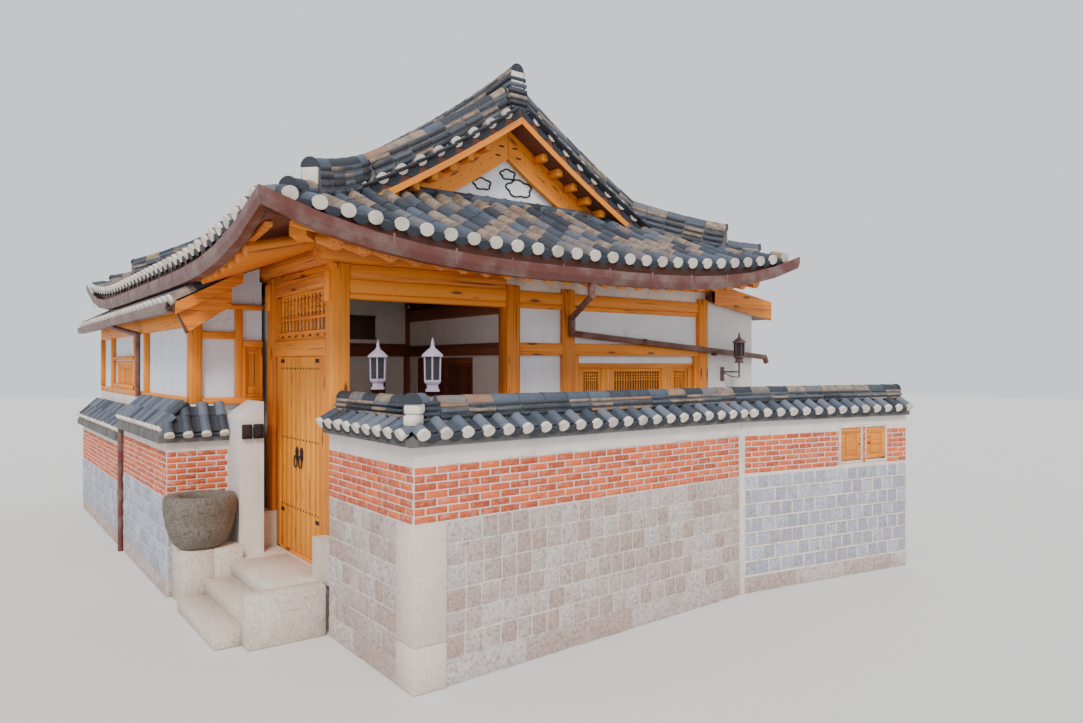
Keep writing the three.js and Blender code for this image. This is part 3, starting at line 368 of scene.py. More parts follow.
    def hoop(self, ring: list[np.ndarray], axis: Point, section: Sequence[Pair], slot: int = 0,
             smooth: bool = False) -> None:
        """Adds a closed bar along a flat ring.

        Args:
            ring: Points of its centre line.
            axis: Direction out of the ring's plane.
            section: Corners of its cross-section, across the line and along the axis.
            slot: Number of the finish.
            smooth: Whether it is shaded smooth.
        """
        out, sections = np.array(axis, float), []
        for before, p, after in zip(ring[-1:] + ring[:-1], ring, ring[1:] + ring[:1]):
            side = np.cross(unit(after - before), out)
            sections.append(np.array([p + side * u + out * v for u, v in section]))
        self.loft(sections, slot=slot, smooth=smooth, closed=True)

    def build(self, slot: str, *finishes: str, node: str = "", body: str = "house") -> None:
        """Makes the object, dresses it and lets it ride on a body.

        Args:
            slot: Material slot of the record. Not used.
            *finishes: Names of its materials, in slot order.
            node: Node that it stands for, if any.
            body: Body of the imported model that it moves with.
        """
        mesh = bpy.data.meshes.new(self.name)
        mesh.from_pydata((np.vstack(self.points) + Shape.shift).tolist(), [], self.faces)
        mesh.attributes.new("grain", "FLOAT_VECTOR", "POINT").data.foreach_set("vector", np.vstack(self.grain).ravel())
        mesh.attributes.new("tone", "FLOAT", "POINT").data.foreach_set("value", np.concatenate(self.tones))
        mesh.polygons.foreach_set("material_index", self.slots)
        mesh.polygons.foreach_set("use_smooth", self.smooth)
        mesh.set_sharp_from_angle(angle=math.radians(48))
        for finish in finishes:
            mesh.materials.append(Shape.palette[finish])
        mesh.update()
        piece = stand(self.name, mesh)
        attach(piece, body)
        if node:
            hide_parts(node)
        LOG.info("%s: %d faces", self.name, len(self.faces))


# --- Node trees ---


class Sketch:
    """Adds and joins the nodes of one tree."""

    def __init__(self, tree: Tree) -> None:
        """Keeps the tree that the nodes go into."""
        self.tree = tree

    def feed(self, socket: Socket, value: object) -> None:
        """Links an output to a socket, or sets the socket to a plain value.

        Args:
            socket: The input.
            value: An output, or a plain value.
        """
        if isinstance(value, Socket):
            self.tree.links.new(value, socket)
        else:
            socket.default_value = value

    def add(self, kind: str, inputs: dict[str | int, object] | None = None, **settings: object) -> bpy.types.Node:
        """Adds one node.

        Args:
            kind: The node's type, without its ShaderNode prefix.
            inputs: Values or outputs for its sockets, by name or number.
            **settings: The node's own properties.

        Returns:
            The node.
        """
        node = self.tree.nodes.new(kind if kind.startswith("Node") else "ShaderNode" + kind)
        for name, value in settings.items():
            setattr(node, name, value)
        for key, value in (inputs or {}).items():
            self.feed(node.inputs[key], value)
        return node

    def math(self, operation: str, a: object, b: object = 0.0, c: object = 0.0) -> Socket:
        """Returns the output of a Math node."""
        return self.add("Math", {0: a, 1: b, 2: c}, operation=operation).outputs[0]

    def stretch(self, vector: object, scale: Point) -> Socket:
        """Returns coordinates multiplied by a size on each axis."""
        return self.add("VectorMath", {0: vector, 1: tuple(scale)}, operation="MULTIPLY").outputs[0]

    def noise(self, vector: object, scale: float, detail: float = 4.0, rough: float = 0.55) -> Socket:
        """Returns the grey output of a Noise node."""
        sockets = {"Vector": vector, "Scale": scale, "Detail": detail, "Roughness": rough}
        return self.add("TexNoise", sockets).outputs[0]

    def ramp(self, value: object, low: float, high: float) -> Socket:
        """Returns 0 below low and 1 above high, smooth between them."""
        sockets = {"Value": value, "From Min": low, "From Max": high}
        return self.add("MapRange", sockets, interpolation_type="SMOOTHSTEP").outputs[0]

    def mix(self, factor: object, a: object, b: object) -> Socket:
        """Returns the colour of a Mix node.

        Args:
            factor: How much of the second colour shows.
            a: First colour.
            b: Second colour.

        Returns:
            The mixed colour.
        """
        node = self.add("Mix", data_type="RGBA")
        for index, value in ((0, factor), (6, a), (7, b)):
            self.feed(node.inputs[index], value)
        return node.outputs[2]


class Effect:
    """A shader node group that several finishes share."""

    def __init__(self, name: str, tone: bool = False, **inputs: str | float) -> None:
        """Starts the group and its sockets.

        Args:
            name: Name of the group.
            tone: Whether it takes the shade of each form.
            **inputs: First number of each further input, or Color.
        """
        self.tree = bpy.data.node_groups.new(name, "ShaderNodeTree")
        for label, value in {"Vector": "Vector", **({"Tone": 0.5} if tone else {}), **inputs}.items():
            kind = value if isinstance(value, str) else "Float"
            socket = self.tree.interface.new_socket(label, in_out="INPUT", socket_type="NodeSocket" + kind)
            if kind == "Float":
                socket.default_value = value
        for label, kind in (("Color", "Color"), ("Height", "Float"), ("Roughness", "Float")):
            self.tree.interface.new_socket(label, in_out="OUTPUT", socket_type="NodeSocket" + kind)
        self.sketch = Sketch(self.tree)
        self.inputs = self.sketch.add("NodeGroupInput").outputs
        self.ends = self.sketch.add("NodeGroupOutput").inputs

    def close(self, **values: Socket) -> Tree:
        """Joins the group's outputs and returns its tree.

        Args:
            **values: Output of each of the group's ends.

        Returns:
            The tree.
        """
        for label, value in values.items():
            self.sketch.feed(self.ends[label], value)
        return self.tree


def wood_effect() -> Tree:
    """Makes the group of wood grain: fibres along X, knots and drying cracks.

    Returns:
        The group.
    """
    effect = Effect("wood_grain", True, Light="Color", Dark="Color", Knots=0.5, Weather=0.3)
    s, i = effect.sketch, effect.inputs
    warp = s.add("TexNoise", {"Vector": s.stretch(i["Vector"], (1.2, 9, 9)), "Scale": 1.0, "Detail": 2.0}).outputs[1]
    bent = s.add("VectorMath", {0: warp, 1: (0.02, 0.03, 0.03), 2: i["Vector"]}, operation="MULTIPLY_ADD").outputs[0]
    rings = s.noise(s.stretch(bent, (0.9, 34, 34)), 1.0, 3.0)
    fibres = s.noise(s.stretch(bent, (6, 260, 260)), 1.0, 3.0, 0.6)
    spots = s.add("TexVoronoi", {"Vector": s.stretch(bent, (1.9, 8, 8)), "Scale": 1.0, "Randomness": 1.0}).outputs[0]
    knot = s.math("MULTIPLY", s.math("SUBTRACT", 1.0, s.ramp(spots, 0.07, 0.2)), i["Knots"])
    split = s.ramp(s.noise(s.stretch(i["Vector"], (1.1, 46, 46)), 1.0, 1.0), 0.70, 0.74)
    grain = s.math("MULTIPLY_ADD", fibres, 0.3, s.math("MULTIPLY", s.ramp(rings, 0.3, 0.75), 0.55))
    shade = s.math("MULTIPLY_ADD", s.math("SUBTRACT", i["Tone"], 0.5), 0.4, grain)
    colour = s.mix(s.ramp(shade, 0.15, 1.05), i["Light"], i["Dark"])
    colour = s.mix(knot, colour, srgb(84, 42, 18))
    colour = s.mix(s.math("MULTIPLY", split, 0.8), colour, srgb(46, 28, 18))
    age = s.math("MULTIPLY", s.ramp(s.noise(s.stretch(i["Vector"], (2.4, 6, 6)), 1.0), 0.42, 0.72), i["Weather"])
    colour = s.mix(age, colour, srgb(122, 104, 88))
    height = s.math("SUBTRACT", s.math("MULTIPLY", fibres, 0.5), s.math("MULTIPLY", split, 0.9))
    return effect.close(Color=colour, Height=height, Roughness=s.math("MULTIPLY_ADD", fibres, 0.22, 0.5))


def stone_effect() -> Tree:
    """Makes the group of hewn granite: crystals, broad stains and a picked face.

    Returns:
        The group.
    """
    effect = Effect("granite", True, Light="Color", Dark="Color", Tint="Color", Coarse=1.0)
    s, i = effect.sketch, effect.inputs
    broad = s.noise(i["Vector"], 5.5, 5.0)
    grains = s.noise(i["Vector"], 210.0, 3.0, 0.7)
    lumps = s.noise(i["Vector"], 34.0, 6.0, 0.65)
    colour = s.mix(s.ramp(s.math("MULTIPLY_ADD", i["Tone"], 0.75, broad), 0.35, 1.2), i["Light"], i["Tint"])
    specks = s.math("MULTIPLY_ADD", lumps, 0.6, s.math("MULTIPLY", grains, 0.5))
    colour = s.mix(s.ramp(specks, 0.5, 0.72), colour, i["Dark"])
    colour = s.mix(s.ramp(grains, 0.6, 0.72), colour, srgb(226, 220, 208))
    height = s.math("MULTIPLY_ADD", grains, 0.12, s.math("MULTIPLY", lumps, i["Coarse"]))
    return effect.close(Color=colour, Height=height, Roughness=s.math("MULTIPLY_ADD", lumps, 0.2, 0.68))


def plaster_effect() -> Tree:
    """Makes the group of lime plaster: trowel clouds, hair cracks and rain stains.

    Returns:
        The group.
    """
    effect = Effect("lime_plaster", Base="Color", Stain="Color", Dirt=0.3)
    s, i = effect.sketch, effect.inputs
    clouds = s.noise(i["Vector"], 3.2, 5.0)
    streaks = s.noise(s.stretch(i["Vector"], (6, 6, 0.8)), 1.0, 4.0)
    sand = s.noise(i["Vector"], 160.0, 3.0, 0.7)
    cell = s.add("TexVoronoi", {"Vector": i["Vector"], "Scale": 2.1}, feature="DISTANCE_TO_EDGE").outputs[0]
    crack = s.math("MULTIPLY", s.math("SUBTRACT", 1.0, s.ramp(cell, 0.0, 0.006)), s.ramp(clouds, 0.5, 0.6))
    rain = s.math("MULTIPLY_ADD", streaks, 0.6, s.math("MULTIPLY", clouds, 0.55))
    soil = s.math("MULTIPLY", s.ramp(rain, 0.48, 0.8), i["Dirt"])
    colour = s.mix(soil, i["Base"], i["Stain"])
    colour = s.mix(s.math("MULTIPLY", s.ramp(sand, 0.4, 0.75), 0.12), colour, srgb(120, 112, 100))
    colour = s.mix(s.math("MULTIPLY", crack, 0.45), colour, srgb(96, 90, 82))
    height = s.math("SUBTRACT", s.math("MULTIPLY_ADD", sand, 0.1, s.math("MULTIPLY", clouds, 0.5)), crack)
    return effect.close(Color=colour, Height=height, Roughness=s.math("MULTIPLY_ADD", sand, 0.15, 0.75))


def tile_effect() -> Tree:
    """Makes the group of fired roof tile: four kiln colours, soot and lichen.

    Returns:
        The group.
    """
    effect = Effect("fired_tile", True, Warmth=0.5)
    s, i = effect.sketch, effect.inputs
    patch = s.noise(i["Vector"], 9.0, 4.0)
    fine = s.noise(i["Vector"], 120.0, 4.0, 0.7)
    shade = s.math("MULTIPLY_ADD", s.math("SUBTRACT", patch, 0.5), 0.28, i["Tone"])
    tan = s.ramp(shade, 0.56, 0.7)
    warm = s.mix(s.ramp(patch, 0.35, 0.66), srgb(160, 138, 118), srgb(116, 98, 84))
    # Its dark end is the tiles' own slate, and painted shade where pan rows take low shades.
    cool = s.mix(s.ramp(shade, 0.1, 0.85), srgb(42, 48, 58), srgb(96, 108, 126))
    colour = s.mix(s.math("MULTIPLY", tan, i["Warmth"]), cool, warm)
    rust = s.math("MULTIPLY", s.ramp(i["Tone"], 0.94, 0.96), i["Warmth"])
    colour = s.mix(s.math("MULTIPLY", rust, 0.7), colour, srgb(150, 106, 78))
    soot = s.ramp(s.noise(i["Vector"], 24.0, 6.0, 0.7), 0.5, 0.74)
    colour = s.mix(s.math("MULTIPLY", soot, 0.55), colour, srgb(44, 42, 42))
    lichen = s.ramp(s.noise(i["Vector"], 58.0, 3.0), 0.66, 0.74)
    colour = s.mix(s.math("MULTIPLY", lichen, 0.4), colour, srgb(176, 172, 160))
    height = s.math("MULTIPLY_ADD", fine, 0.3, s.math("MULTIPLY", patch, 0.3))
    return effect.close(Color=colour, Height=height, Roughness=s.math("MULTIPLY_ADD", fine, 0.25, 0.52))


def brick_effect() -> Tree:
    """Makes the group of fired brick: orange to dark red, with smears of lime.

    Returns:
        The group.
    """
    effect = Effect("fired_brick", True, Smear=0.5)
    s, i = effect.sketch, effect.inputs
    body = s.noise(i["Vector"], 26.0, 5.0, 0.65)
    pits = s.noise(i["Vector"], 170.0, 3.0, 0.7)
    colour = s.mix(s.ramp(i["Tone"], 0.0, 1.0), srgb(232, 104, 48), srgb(178, 72, 44))
    colour = s.mix(s.math("MULTIPLY", s.ramp(body, 0.4, 0.7), 0.6), colour, srgb(238, 132, 78))
    colour = s.mix(s.math("MULTIPLY", s.ramp(pits, 0.56, 0.7), 0.5), colour, srgb(130, 58, 44))
    wipe = s.ramp(s.noise(s.stretch(i["Vector"], (9, 22, 22)), 1.0, 5.0, 0.7), 0.5, 0.68)
    colour = s.mix(s.math("MULTIPLY", wipe, i["Smear"]), colour, srgb(214, 178, 168))
    height = s.math("MULTIPLY_ADD", pits, 0.25, s.math("MULTIPLY", body, 0.5))
    return effect.close(Color=colour, Height=height, Roughness=s.math("MULTIPLY_ADD", body, 0.2, 0.7))


def paint_effect() -> Tree:
    """Makes the group of old metal paint: dust, faded patches and a few chips.

    Returns:
        The group.
    """
    effect = Effect("old_paint", Paint="Color")
    s, i = effect.sketch, effect.inputs
    broad = s.noise(i["Vector"], 4.0, 5.0)
    fine = s.noise(i["Vector"], 90.0, 4.0, 0.7)
    faded = s.mix(s.ramp(broad, 0.4, 0.7), i["Paint"], s.mix(0.35, i["Paint"], srgb(150, 140, 132)))
    chips = s.ramp(s.math("MULTIPLY_ADD", fine, 0.6, s.math("MULTIPLY", broad, 0.5)), 0.66, 0.7)
    colour = s.mix(s.math("MULTIPLY", chips, 0.6), faded, srgb(70, 46, 36))
    return effect.close(Color=colour, Height=fine, Roughness=s.math("MULTIPLY_ADD", fine, 0.3, 0.3))


class Kind(Enum):
    """The shared effects."""

    WOOD = "wood"
    STONE = "stone"
    PLASTER = "plaster"
    TILE = "tile"
    BRICK = "brick"
    PAINT = "paint"


class Source(Enum):
    """Where a finish takes its coordinates from."""

    GRAIN = "grain"
    OBJECT = "object"


@dataclass(frozen=True)
class Finish:
    """One material made of a shared effect.

    Attributes:
        name: Name of the material.
        kind: The effect that it uses.
        values: Its own colours and numbers, in the order of the effect's inputs.
        source: Where its coordinates come from.
        bump: Depth of the relief in metres.
        metallic: How metallic it is.
        coat: Weight of a thin clear coat.
    """

    name: str
    kind: Kind
    values: tuple[float | tuple[int, int, int], ...]
    source: Source = Source.GRAIN
    bump: float = 0.002
    metallic: float = 0.0
    coat: float = 0.0

    def make(self, effects: dict[Kind, Tree]) -> Material:
        """Builds the material.

        Args:
            effects: The shared node groups by kind.

        Returns:
            The material.
        """
        material = bpy.data.materials.new(self.name)
        material.use_nodes = True
        tree = material.node_tree
        tree.nodes.clear()
        s = Sketch(tree)
        group = s.add("Group", node_tree=effects[self.kind])
        labels = [socket.name for socket in group.inputs if socket.name not in ("Vector", "Tone")]
        if self.source is Source.GRAIN:
            s.feed(group.inputs["Vector"], s.add("Attribute", attribute_name="grain").outputs["Vector"])
        else:
            s.feed(group.inputs["Vector"], s.add("TexCoord").outputs["Object"])
        if "Tone" in group.inputs and self.source is Source.GRAIN:
            s.feed(group.inputs["Tone"], s.add("Attribute", attribute_name="tone").outputs["Fac"])
        for label, value in zip(labels, self.values):
            s.feed(group.inputs[label], srgb(*value) if isinstance(value, tuple) else value)
        bump = s.add("Bump", {"Height": group.outputs["Height"], "Distance": self.bump, "Strength": 0.8})
        shader = s.add("BsdfPrincipled", {"Base Color": group.outputs["Color"], "Roughness": group.outputs["Roughness"],
                                          "Normal": bump.outputs[0], "Metallic": self.metallic,
                                          "Coat Weight": self.coat})
        s.add("OutputMaterial", {"Surface": shader.outputs[0]})
        return material


FINISHES = (
    Finish("pine_orange", Kind.WOOD, ((240, 144, 30), (176, 84, 12), 0.9, 0.04)),
    Finish("pine_rafter", Kind.WOOD, ((230, 136, 36), (168, 80, 16), 0.4, 0.04)),
    Finish("pine_door", Kind.WOOD, ((248, 160, 34), (210, 114, 16), 0.5, 0.05)),
    # Painted shade: a darker copy of the pine for the timbers and lattice door inside the hall.
    Finish("pine_shade", Kind.WOOD, ((126, 66, 34), (74, 34, 20), 0.5, 0.1)),
    Finish("pine_lattice", Kind.WOOD, ((244, 152, 38), (188, 98, 20), 0.3, 0.05)),
    Finish("pine_back", Kind.WOOD, ((214, 128, 40), (160, 80, 20), 0.6, 0.08), Source.OBJECT),
    Finish("board_soffit", Kind.WOOD, ((112, 62, 44), (72, 38, 30), 0.3, 0.1), Source.OBJECT),
    Finish("timber_dark", Kind.WOOD, ((70, 52, 42), (38, 28, 24), 0.2, 0.2)),
    Finish("pane_dark", Kind.PLASTER, ((74, 44, 24), (44, 26, 16), 0.6), bump=0.0004),
    Finish("plaster_white", Kind.PLASTER, ((236, 238, 242), (204, 202, 200), 0.3), Source.OBJECT),
    Finish("plaster_wall", Kind.PLASTER, ((226, 222, 218), (186, 180, 174), 0.3), Source.OBJECT),
    # Painted light: the white plaster with a cool cast of skylight, for the wing panels facing along minus X.
    Finish("plaster_painted_cool_light", Kind.PLASTER, ((226, 234, 244), (190, 198, 208), 0.3), Source.OBJECT),
    Finish("lime", Kind.PLASTER, ((234, 223, 209), (158, 142, 126), 0.65)),
    # Painted shade: dark mortar that shows as dark gaps between ridge courses and under the coping tiles.
    Finish("mortar_painted_shade", Kind.PLASTER, ((108, 104, 102), (48, 48, 52), 0.9), Source.OBJECT),
    Finish("joint_light", Kind.PLASTER, ((230, 220, 214), (190, 178, 168), 0.4), Source.OBJECT),
    Finish("tile_roof", Kind.TILE, (0.9,), bump=0.004),
    # The coping tiles' own dark slate, and painted shade on the pan rows and lips.
    Finish("tile_dark", Kind.TILE, (0.12,), bump=0.004),
    Finish("granite_beige", Kind.STONE, ((208, 198, 196), (112, 98, 92), (186, 160, 150)), bump=0.006),
    Finish("granite_blue", Kind.STONE, ((194, 200, 216), (112, 114, 128), (168, 168, 182)), bump=0.005),
    Finish("granite_step", Kind.STONE, ((224, 214, 202), (172, 158, 144), (208, 192, 176), 0.5), Source.OBJECT,
           bump=0.005),
    Finish("basin_stone", Kind.STONE, ((140, 130, 118), (56, 50, 46), (106, 97, 84), 1.8), Source.OBJECT, bump=0.012),
    Finish("granite_slab", Kind.STONE, ((226, 216, 204), (170, 156, 142), (206, 190, 174), 0.5), bump=0.004),
    Finish("granite_corner", Kind.STONE, ((238, 222, 214), (198, 180, 170), (224, 206, 194), 0.5), bump=0.003),
    Finish("metal_paint", Kind.PAINT, ((98, 48, 38),), Source.OBJECT, bump=0.0003),
    Finish("lantern_metal", Kind.PAINT, ((168, 152, 176),), bump=0.0003),
    Finish("lantern_dark", Kind.PAINT, ((96, 66, 72),), bump=0.0003),
    Finish("glass_dark", Kind.PLASTER, ((12, 13, 22), (30, 30, 44), 0.3), bump=0.0001, coat=0.3),
    Finish("brick_plain", Kind.BRICK, (0.4,), bump=0.003),
    Finish("brick_pale", Kind.BRICK, (0.85,), bump=0.003),
    Finish("iron_black", Kind.PLASTER, ((28, 27, 28), (66, 48, 38), 0.5), bump=0.0006, metallic=0.3),
)


def make_palette() -> dict[str, Material]:
    """Returns every material of FINISHES by name.

    Returns:
        The materials.
    """
    makers = {Kind.WOOD: wood_effect, Kind.STONE: stone_effect, Kind.PLASTER: plaster_effect,
              Kind.TILE: tile_effect, Kind.BRICK: brick_effect, Kind.PAINT: paint_effect}
    effects = {kind: maker() for kind, maker in makers.items()}
    return {finish.name: finish.make(effects) for finish in FINISHES}


# --- Tiles ---

# Slot 2 holds the pan rows and lips, darkened as painted shade; in WALL_TILES slot 0 is the coping's own dark slate.
ROOF_TILES = ("tile_roof", "lime", "tile_dark")
WALL_TILES = ("tile_dark", "lime", "tile_dark")


def arch(radius: float, height: float) -> list[Pair]:
    """Returns the outline of a half-round tile's end, flat side down."""
    return [(radius * math.cos(a), height * math.sin(a)) for a in (math.pi * k / 8 for k in range(9))]


def dish(half: float, rise: float, thick: float) -> list[Pair]:
    """Returns the outline of a hollow tile's end, open side up.

    Args:
        half: Half its width.
        rise: Height of its rims.
        thick: Its thickness.

    Returns:
        The outline, Y and Z.
    """
    across = [half * (1 - 2 * k / 6) for k in range(7)]
    top = [(y, rise * (y / half) ** 2) for y in across]
    return top + [(y, z - thick) for y, z in reversed(top)]


@dataclass(frozen=True)
class TileSet:
    """Sizes of the roof tiles, in metres.

    Attributes:
        pitch: Distance between two cover rows.
        reach: Visible length of one tile.
        cover: Half width of a cover tile.
        crown: Height of a cover tile.
        pan: Half width of a pan tile.
    """

    pitch: float = 0.255
    reach: float = 0.28
    cover: float = 0.074
    crown: float = 0.088
    pan: float = 0.105

    def cover_tile(self) -> Template:
        """Returns one cover tile, wide end at X 0."""
        return prism(arch(self.cover, self.crown), self.reach + 0.03, 0.95, True)

    def pan_tile(self) -> Template:
        """Returns one pan tile."""
        return prism(dish(self.pan, 0.034, 0.018), self.reach + 0.03, 0.95, True)

    def plug(self) -> Template:
        """Returns the lime plug in the open end of a cover row.

        Returns:
            The plug, its face at X 0.
        """
        radius = self.cover * 0.94
        rim = []
        for a in turn(14):
            swell = 0.98 if math.sin(a) > 0 else 0.8
            rim.append((radius * math.cos(a), radius * (0.36 + math.sin(a) * swell)))
        return prism(rim, 0.06, 0.9)

    def lip(self) -> Template:
        """Returns the curved lip at the end of a pan row.

        Returns:
            The lip, its face at X 0.
        """
        across = [self.pan * (1 - k / 4) for k in range(9)]
        top = [(y, 0.034 * (y / self.pan) ** 2) for y in across]
        low = [(y, -0.072 + 0.066 * (y / self.pan) ** 2) for y in reversed(across)]
        return prism(top + low, 0.022)


@dataclass(frozen=True)
class Slope:
    """One tiled side of a roof, walked along its eave and up from it.

    Attributes:
        corner: X and Y of the eave's start.
        along: Plan direction of the eave.
        inward: Plan direction up the slope.
        span: Length of the eave.
        height: Height of the tile plane, from the place along and the distance inward.
    """

    corner: Pair
    along: Pair
    inward: Pair
    span: float
    height: Callable[[float, float], float]

    def point(self, s: float, d: float) -> np.ndarray:
        """Returns the point of the tile plane at a place along the eave and a distance inward.

        Args:
            s: Place along the eave.
            d: Distance inward.

        Returns:
            The point.
        """
        x = self.corner[0] + self.along[0] * s + self.inward[0] * d
        y = self.corner[1] + self.along[1] * s + self.inward[1] * d
        return np.array([x, y, self.height(s, d)])

    def axes(self, s: float, d: float) -> tuple[np.ndarray, np.ndarray, np.ndarray]:
        """Returns the directions up the slope, across it and out of it.

        Args:
            s: Place along the eave.
            d: Distance inward.

        Returns:
            The three directions.
        """
        rise = unit(self.point(s, d + 0.02) - self.point(s, d - 0.02))
        wide = unit(self.point(s + 0.02, d) - self.point(s - 0.02, d))
        out = unit(np.cross(wide, rise))
        out = out if out[2] > 0 else -out
        return rise, np.cross(out, rise), out


@dataclass
class TileRows:
    """Lays cover and pan rows over a slope."""

    tiles: TileSet = field(default_factory=TileSet)

    def row(self, shape: Shape, slope: Slope, s: float, start: float, stop: float, cover: bool) -> None:
        """Lays one row of tiles.

        Args:
            shape: Piece that gets them.
            slope: The slope.
            s: Place along the eave.
            start: Distance inward of the first tile.
            stop: Distance inward where the row ends.
            cover: Whether it is a cover row or a pan row.
        """
        form = self.tiles.cover_tile() if cover else self.tiles.pan_tile()
        d = start
        while d < stop - 0.06:
            rise, across, out = slope.axes(s, d + 0.14)
            flat = math.hypot(rise[0], rise[1])
            length = min(1.0, (stop - d) / flat / (self.tiles.reach + 0.03) + 0.05)
            lift = 0.014 if cover else 0.024
            tilt = unit(rise - out * (0.016 if cover else 0.05))
            origin = slope.point(s, d) + out * (lift + shape.random.uniform(0, 0.004))
            sway = across * shape.random.uniform(-0.004, 0.004)
            # Pan rows take low shades and slot 2: painted shade in the hollows between the cover rows.
            tone = shape.random.uniform(0.2, 0.95) if cover else shape.random.uniform(0.0, 0.35)
            shape.place(form, origin + sway, tilt, across, np.cross(tilt, across), tone, 0 if cover else 2,
                        (length, 1, 1))
            d += self.tiles.reach * flat

    def eave_end(self, shape: Shape, slope: Slope, s: float, start: float, cover: bool) -> None:
        """Closes the low end of a row with its lime plug or its lip.

        Args:
            shape: Piece that gets it.
            slope: The slope.
            s: Place along the eave.
            start: Distance inward of the row's start.
            cover: Whether it is a cover row.
        """
        rise, across, out = slope.axes(s, start + 0.05)
        if cover:
            origin = slope.point(s, start) + out * 0.008 - rise * 0.034
            shape.place(self.tiles.plug(), origin, rise, across, out, slot=1)
        else:
            origin = slope.point(s, start) + out * 0.022 - rise * 0.026
            # The lip's low shade and dark slot are painted shade, like its pan row.
            shape.place(self.tiles.lip(), origin, rise, across, out, slot=2, tone=0.15)

    def cover_slope(self, shape: Shape, slope: Slope, first: float, last: float, stop: Callable[[float], float],
                    start: Callable[[float], float] = lambda s: 0.0) -> None:
        """Lays all rows of a slope.

        Args:
            shape: Piece that gets them.
            slope: The slope.
            first: Place along the eave of the first cover row.
            last: Limit of the rows along the eave.
            stop: Distance inward where a row ends.
            start: Distance inward where it starts. The eave if not given.
        """
        count = round((last - first) / self.tiles.pitch)
        step = (last - first) / count
        for k in range(2 * count + 1):
            s = first + step * k / 2
            cover = k % 2 == 0
            if stop(s) - start(s) < 0.05:
                continue
            self.row(shape, slope, s, start(s) + (0.0 if cover else 0.01), stop(s), cover)
            self.eave_end(shape, slope, s, start(s), cover)


# --- Main roof ---


@dataclass(frozen=True)
class RoofPlan:
    """Outline and curve of the main roof, in site metres.

    Attributes:
        west, east, front, back: Places of the four eaves.
        verge: Distance from an eave to the roof's edge over the gable.
        half: Distance from a side eave to the ridge.
        skirt: Depth of the hipped foot under a gable.
        slab: Thickness from the tile plane to the slab's lower side.
        eave: Height of the tile plane at the middle of an eave.
        grade: Steepness at the eave.
        sag: How fast it grows steeper inward.
        kick: How far the corners rise.
        calm: Distance from a corner where its rise has died out.
        margin: Distance from a corner to the first row of tiles.
    """

    west: float = -0.75
    east: float = 6.16
    front: float = 1.12
    back: float = 10.93
    verge: float = 1.31
    half: float = 3.455
    skirt: float = 1.70
    slab: float = 0.17
    eave: float = 3.3
    grade: float = 0.42
    sag: float = 0.04
    kick: float = 0.27
    calm: float = 3.4
    margin: float = 0.19

    @property
    def middle(self) -> float:
        """Returns X of the ridge."""
        return (self.west + self.east) / 2

    def height(self, near: float, d: float) -> float:
        """Returns the tile plane's height."""
        lift = max(0.0, 1 - near / self.half) ** 2.5 * max(0.0, 1 - d / 2.0) ** 1.5
        return self.eave + self.grade * d + self.sag * d * d + self.kick * lift

    def slopes(self) -> dict[str, Slope]:
        """Returns the four slopes by name.

        Returns:
            The slopes.
        """
        deep, wide = self.back - self.front, self.east - self.west

        def curve(span: float) -> Callable[[float, float], float]:
            """Returns the height over an eave of this length."""
            return lambda s, d: self.height(min(max(s, 0.0), max(span - s, 0.0)), d)

        return {
            "left": Slope((self.west, self.front), (0, 1), (1, 0), deep, curve(deep)),
            "right": Slope((self.east, self.front), (0, 1), (-1, 0), deep, curve(deep)),
            "front": Slope((self.west, self.front), (1, 0), (0, 1), wide, curve(wide)),
            "back": Slope((self.west, self.back), (1, 0), (0, -1), wide, curve(wide)),
        }


